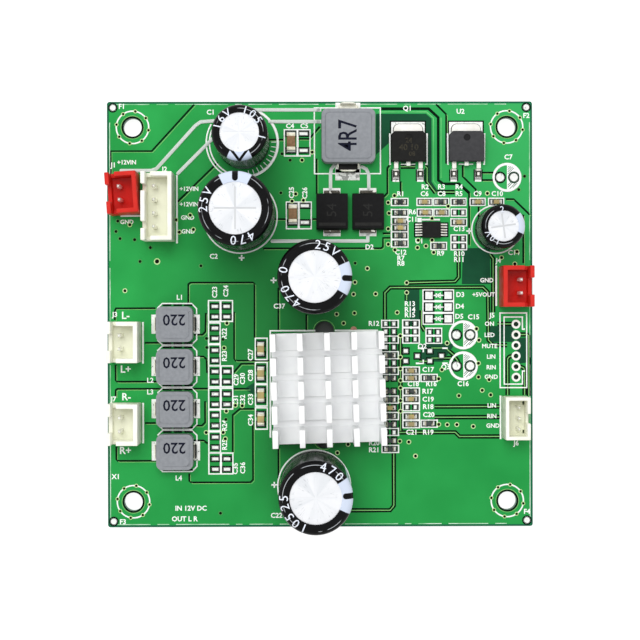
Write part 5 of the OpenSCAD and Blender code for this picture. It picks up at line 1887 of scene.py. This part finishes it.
@dataclass
class Semiconductors(Assembly):
    """Rectifiers, power packages and the driver chip."""

    edge: float = 0.09
    tab_edge: float = 0.05
    leg_edge: float = 0.07
    lead_edge: float = 0.02
    rectifiers: Path = ((2.25, 19.2), (9.0, 19.2))
    value: str = "54"
    value_h: float = 2.6
    value_y: float = 0.2
    band_half: float = 2.5
    band_y: Point = (-2.7, -2.1)
    switch_rows: tuple[tuple[str, float, float, float], ...] = (
        ("24", 0.0, 1.0, 1.3), ("40 10", 0.0, -0.3, 1.6), ("08", 0.6, -1.5, 1.2))
    mark_rise: float = 0.006
    power_spots: Path = ((16.6, 31.4), (27.5, 31.4))
    slug_reach: float = 4.3
    slug_half: float = 2.7
    slug_r: float = 1.0
    slug_sides: int = 8
    # Painted shadow line round each slug
    slug_shadow_y: float = 2.9
    slug_shadow_w: float = 0.28
    slug_shadow_rise: float = 0.06
    leg_half: float = 2.3
    board: float = 1.6
    pad_z: float = 1.65
    cover_half: float = 0.92
    cover_y: Point = (-4.2, -2.6)
    cover_rise: float = 0.07
    pad_half: float = 0.6
    pad_y: Point = (-6.5, -5.9)
    foot_y: float = -5.05
    foot_w: float = 1.14
    foot_l: float = 1.4
    foot_h: float = 0.58
    foot_taper: Point = (0.74, 0.8)
    foot_edge: float = 0.06
    glint_w: float = 0.42
    glint_l: float = 0.56
    glint_rise: float = 0.02

    def build(self) -> None:
        """Makes every moulded package with its metal."""
        for side in ("left", "right"):
            self.take_over(f"{side}_rectifier_body", CHIP_MOULD, self.edge)
            self.take_over(f"{side}_rectifier_tabs", DARK_TIN, self.tab_edge)
        for package, finish in (("switch", SWITCH_MOULD), ("regulator", REGULATOR_MOULD)):
            self.take_over(f"{package}_body", finish, self.edge)
            self.take_over(f"{package}_legs", SLUG_TIN, self.leg_edge)
        self.take_over("driver_chip", SWITCH_MOULD, self.tab_edge)
        self.take_over("driver_chip_leads", LEAD_TIN, self.lead_edge)
        self.marks()
        self.slug_shadows()
        self.footings()

    def footings(self) -> None:
        """Mask, pad ends, solder and glints round the feet of the power packages' legs."""
        legs = [(x + s * self.leg_half, y) for x, y in self.power_spots for s in (-1, 1)]
        covers = [self.across(leg, self.cover_half, *self.cover_y) for leg in legs]
        ends = [self.across(leg, self.pad_half, *self.pad_y) for leg in legs]
        half = self.glint_l / 2
        glints = [self.across(leg, self.glint_w / 2, self.foot_y - half, self.foot_y + half) for leg in legs]
        feet = [Matrix.Translation(Vector((x, y + self.foot_y, self.pad_z)) * MM) for x, y in legs]
        self.fill("leg_covers", covers, self.cover_rise, self.board, BOARD_MASK)
        self.fill("leg_pads", ends, self.pad_z - self.board, self.board, PAD_TIN)
        # The solder on the feet is dark as painted shade and reflection, with painted glints on top
        self.hand_in(Bench.place_copies(self.wet_foot(), feet, "leg_solder"), SHADE_TIN)
        self.fill("leg_glints", glints, self.glint_rise, self.pad_z + self.foot_h, SLUG_TIN)

    @staticmethod
    def across(spot: Point, half: float, front: float, back: float) -> Path:
        """Closed rectangle across a place, between two distances before or behind it."""
        x, y = spot
        return box(x - half, y + front, x + half, y + back)

    def wet_foot(self) -> bpy.types.Object:
        """Solder that has run over the foot of a leg, at the origin.

        Returns:
            The solder.
        """
        bpy.ops.object.select_all(action="DESELECT")
        bpy.ops.mesh.primitive_plane_add(size=1.0)
        foot = bpy.context.object
        with Bench.edit(foot):
            size = (self.foot_w * MM, self.foot_l * MM, 1.0)
            bpy.ops.transform.resize(value=size, center_override=(0.0, 0.0, 0.0))
            bpy.ops.mesh.extrude_region_move(TRANSFORM_OT_translate={"value": (0.0, 0.0, self.foot_h * MM)})
            bpy.ops.transform.resize(value=(*self.foot_taper, 1.0), center_override=(0.0, 0.0, 0.0))
            bpy.ops.mesh.select_all(action="SELECT")
            bpy.ops.mesh.normals_make_consistent(inside=False)
        Bench.round_edges(foot, self.foot_edge)
        return Bench.smooth(foot)

    def slug_shadows(self) -> None:
        """Painted shadow line where the solder meets each power package's slug."""
        paths = []
        for x, y in self.power_spots:
            side, back = self.slug_half - self.slug_r, y + self.slug_reach - self.slug_r
            right = arc(x + side, back, self.slug_r, 0.0, 90.0, self.slug_sides)
            left = arc(x - side, back, self.slug_r, 90.0, 180.0, self.slug_sides)
            start, end = (x + self.slug_half, y + self.slug_shadow_y), (x - self.slug_half, y + self.slug_shadow_y)
            paths.append([start, *right, *left, end])
        self.draw("painted_slug_shadows", paths, self.slug_shadow_w, self.slug_shadow_rise, self.pad_z, SHADE_TIN)

    def marks(self) -> None:
        """Faint figures on the tops, and the rectifiers' bands."""
        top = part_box("switch_body")[1].z / MM
        x, y = self.power_spots[0]
        rows = [Word(text, x + across, y + along, h) for text, across, along, h in self.switch_rows]
        self.hand_in(Artwork.words("switch_marks", rows, self.mark_rise, top), ETCHED)
        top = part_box("left_rectifier_body")[1].z / MM
        rows = [Word(self.value, x, y + self.value_y, self.value_h, 90.0, weight=0.0)
                for x, y in self.rectifiers]
        bands = [self.across(spot, self.band_half, *self.band_y) for spot in self.rectifiers]
        self.hand_in(Artwork.words("rectifier_marks", rows, self.mark_rise, top), BAND_INK)
        self.fill("rectifier_bands", bands, self.mark_rise, top, BAND_INK)


@dataclass
class Headers(Assembly):
    """The six wire headers."""

    edge: float = 0.12
    pin_edge: float = 0.05

    def build(self) -> None:
        """Makes the housings and the pins."""
        finishes = {"power": RED_NYLON, "supply": RED_NYLON, "link": CREAM_NYLON, "left_speaker": CREAM_NYLON,
                    "right_speaker": CREAM_NYLON, "audio": CREAM_NYLON}
        for name, finish in finishes.items():
            self.take_over(f"{name}_header_housing", finish, self.edge)
            self.take_over(f"{name}_header_pins", PIN_TIN, self.pin_edge)


@dataclass
class Chips(Assembly):
    """The small ceramic capacitors and resistors with their metal ends."""

    edge: float = 0.06

    def build(self) -> None:
        """Makes every chip component."""
        finishes = {"large_ceramic_capacitors": BROWN_CERAMIC, "small_ceramic_capacitors": TAN_CERAMIC,
                    "chip_resistors": RESISTOR_GLASS, "chip_terminals": CHIP_END}
        for name, finish in finishes.items():
            self.take_over(name, finish, self.edge)


@dataclass
class Studio:
    """Floor, soft light and the camera that looks down on the board."""

    floor_z: float
    floor_half: float = 1500.0
    floor_seen: tuple[float, ...] = (0.2, 0.2, 0.2, 1.0)
    floor_glow: tuple[float, ...] = (0.93, 0.93, 0.93, 1.0)
    paper: tuple[Colour, Colour] = ((244, 244, 244), (250, 250, 250))
    paper_grain: float = 0.6
    paper_roughness: float = 0.9
    board_half: float = 40.0
    shade_half: float = 32.0
    shade_soft: float = 3.0
    camera_place: Place = (-2.2, -0.12, 281.9)
    camera_turn: Place = (-0.196, -0.443, -0.13)
    focal_px: float = 1489.0
    image_px: float = 640.0
    nearest: float = 10.0
    sky: float = 0.66
    key_place: Place = (-60.0, 150.0, 450.0)
    key_size: float = 260.0
    key_power: float = 1.4

    def build(self) -> None:
        """Makes the floor, the light and the camera."""
        bpy.context.scene.view_settings.view_transform = "Standard"
        self.floor()
        self.world()
        self.key()
        self.camera()

    def floor(self) -> None:
        """White floor that keeps the object's shadow and shows white to the camera."""
        bpy.ops.object.select_all(action="DESELECT")
        middle = (0.0, 0.0, self.floor_z * MM)
        bpy.ops.mesh.primitive_plane_add(size=2 * self.floor_half * MM, location=middle)
        floor = bpy.context.object
        floor.name = "floor"
        graph = Surface("floor_paper")
        grain = graph.noise(graph.local(), self.paper_grain)
        x, y, _ = graph.split(graph.local())
        beside = abs(x).high(abs(y)) > self.board_half
        lit = abs(x).low(abs(y)).ramp(self.shade_half - self.shade_soft, self.shade_half).high(beside)
        seen = graph.seen()
        paper = graph.blend(grain, *(linear(colour) for colour in self.paper))
        glow = graph.blend(seen * lit, (0.0, 0.0, 0.0, 1.0), self.floor_glow)
        graph.dress(Base_Color=graph.blend(seen, paper, self.floor_seen), Roughness=self.paper_roughness,
                    Emission_Color=glow, Emission_Strength=1.0)
        floor.data.materials.append(graph.material)
        floor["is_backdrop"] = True

    def world(self) -> None:
        """Even sky that is white where it is seen or mirrored, and softer where it lights."""
        world = bpy.data.worlds.new("sky")
        bpy.context.scene.world = world
        graph = Graph(world)
        white = (1.0, 1.0, 1.0, 1.0)
        soft = graph.add("ShaderNodeBackground", None, {"Color": white, "Strength": self.sky})
        full = graph.add("ShaderNodeBackground", None, {"Color": white, "Strength": 1.0})
        both = graph.add("ShaderNodeMixShader", None, {0: graph.seen(), 1: soft, 2: full})
        graph.add("ShaderNodeOutputWorld", None, {"Surface": both})

    def key(self) -> None:
        """Soft lamp from above and a little behind, left out of what gloss shows."""
        lamp = bpy.data.lights.new("key", "AREA")
        lamp.energy = self.key_power
        lamp.size = self.key_size * MM
        holder = bpy.data.objects.new("key", lamp)
        bpy.context.scene.collection.objects.link(holder)
        holder.visible_glossy = False
        holder.location = Vector(self.key_place) * MM
        holder.rotation_euler = (-Vector(self.key_place)).to_track_quat("-Z", "Y").to_euler()

    def camera(self) -> None:
        """Camera over the board, with the photograph's field of view."""
        data = bpy.data.cameras.new("camera")
        data.angle = 2 * math.atan(self.image_px / 2 / self.focal_px)
        data.clip_start = self.nearest * MM
        holder = bpy.data.objects.new("camera", data)
        bpy.context.scene.collection.objects.link(holder)
        holder.location = Vector(self.camera_place) * MM
        holder.rotation_euler = [math.radians(a) for a in self.camera_turn]
        bpy.context.scene.camera = holder


def main() -> None:
    """Builds every sub-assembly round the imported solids, then the studio."""
    logging.basicConfig(level=logging.INFO, format="%(message)s")
    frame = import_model()
    cad_box = [list(corner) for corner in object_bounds()]
    nodes = frame["nodes"]
    bpy.ops.object.select_all(action="DESELECT")
    Board(nodes).build()
    HeatSink(nodes).build()
    capacitors = [
        # The input capacitor's stripe is darker down its side: painted shade between the capacitors
        Capacitor(nodes, "input_capacitor", -14.4, 32.3, -90.0, 10.0, 16.5, 27.0, Mark.CHEVRON,
                  [("16V", 165.0), ("105", 75.0), ("1", -12.0)], stripe_side_shade=(96, 108, 106), letter_h=2.1),
        Capacitor(nodes, "left_capacitor", -15.0, 18.6, 90.0, 13.2, 20.0, 27.0, Mark.DASH,
                  [("25V", 182.0), ("470", 300.0)], score_shade=CLEAR_SCORE_SHADE),
        Capacitor(nodes, "centre_capacitor", -1.1, 6.6, -3.0, 13.2, 20.0, 27.0, Mark.DASH,
                  [("25V", 84.0), ("470", 236.0), ("0", 168.0)]),
        Capacitor(nodes, "lower_capacitor", -1.0, -32.25, 4.0, 13.2, 20.0, 29.0, Mark.DASH,
                  [("470", 76.0), ("105", 248.0), ("25", 196.0)]),
        Capacitor(nodes, "output_capacitor", 33.1, 15.9, 8.0, 8.0, 11.5, 30.0, Mark.NONE,
                  [("10V", 250.0), ("2", 95.0)], letter_h=1.6, score_shade=CLEAR_SCORE_SHADE),
    ]
    for capacitor in capacitors:
        capacitor.build()
    Assembly(nodes).take_over("capacitor_seals", SEAL_RUBBER, 0.0)
    inductors = [Inductor(nodes, "boost_inductor", "4R7", 4.9, 90.0, value_w=0.74, value_weight=0.008,
                          lug_turn=-90.0)]
    inductors += [Inductor(nodes, f"filter_inductor_{number}", "220", 2.9, 180.0, 0.9, 0.98, 0.014,
                           lug_rim=3.7, edge=0.0) for number in range(1, 5)]
    for inductor in inductors:
        inductor.build()
    Semiconductors(nodes).build()
    Headers(nodes).build()
    Chips(nodes).build()
    Studio(floor_z=cad_box[0][2] / MM).build()


if __name__ == "__main__":
    main()
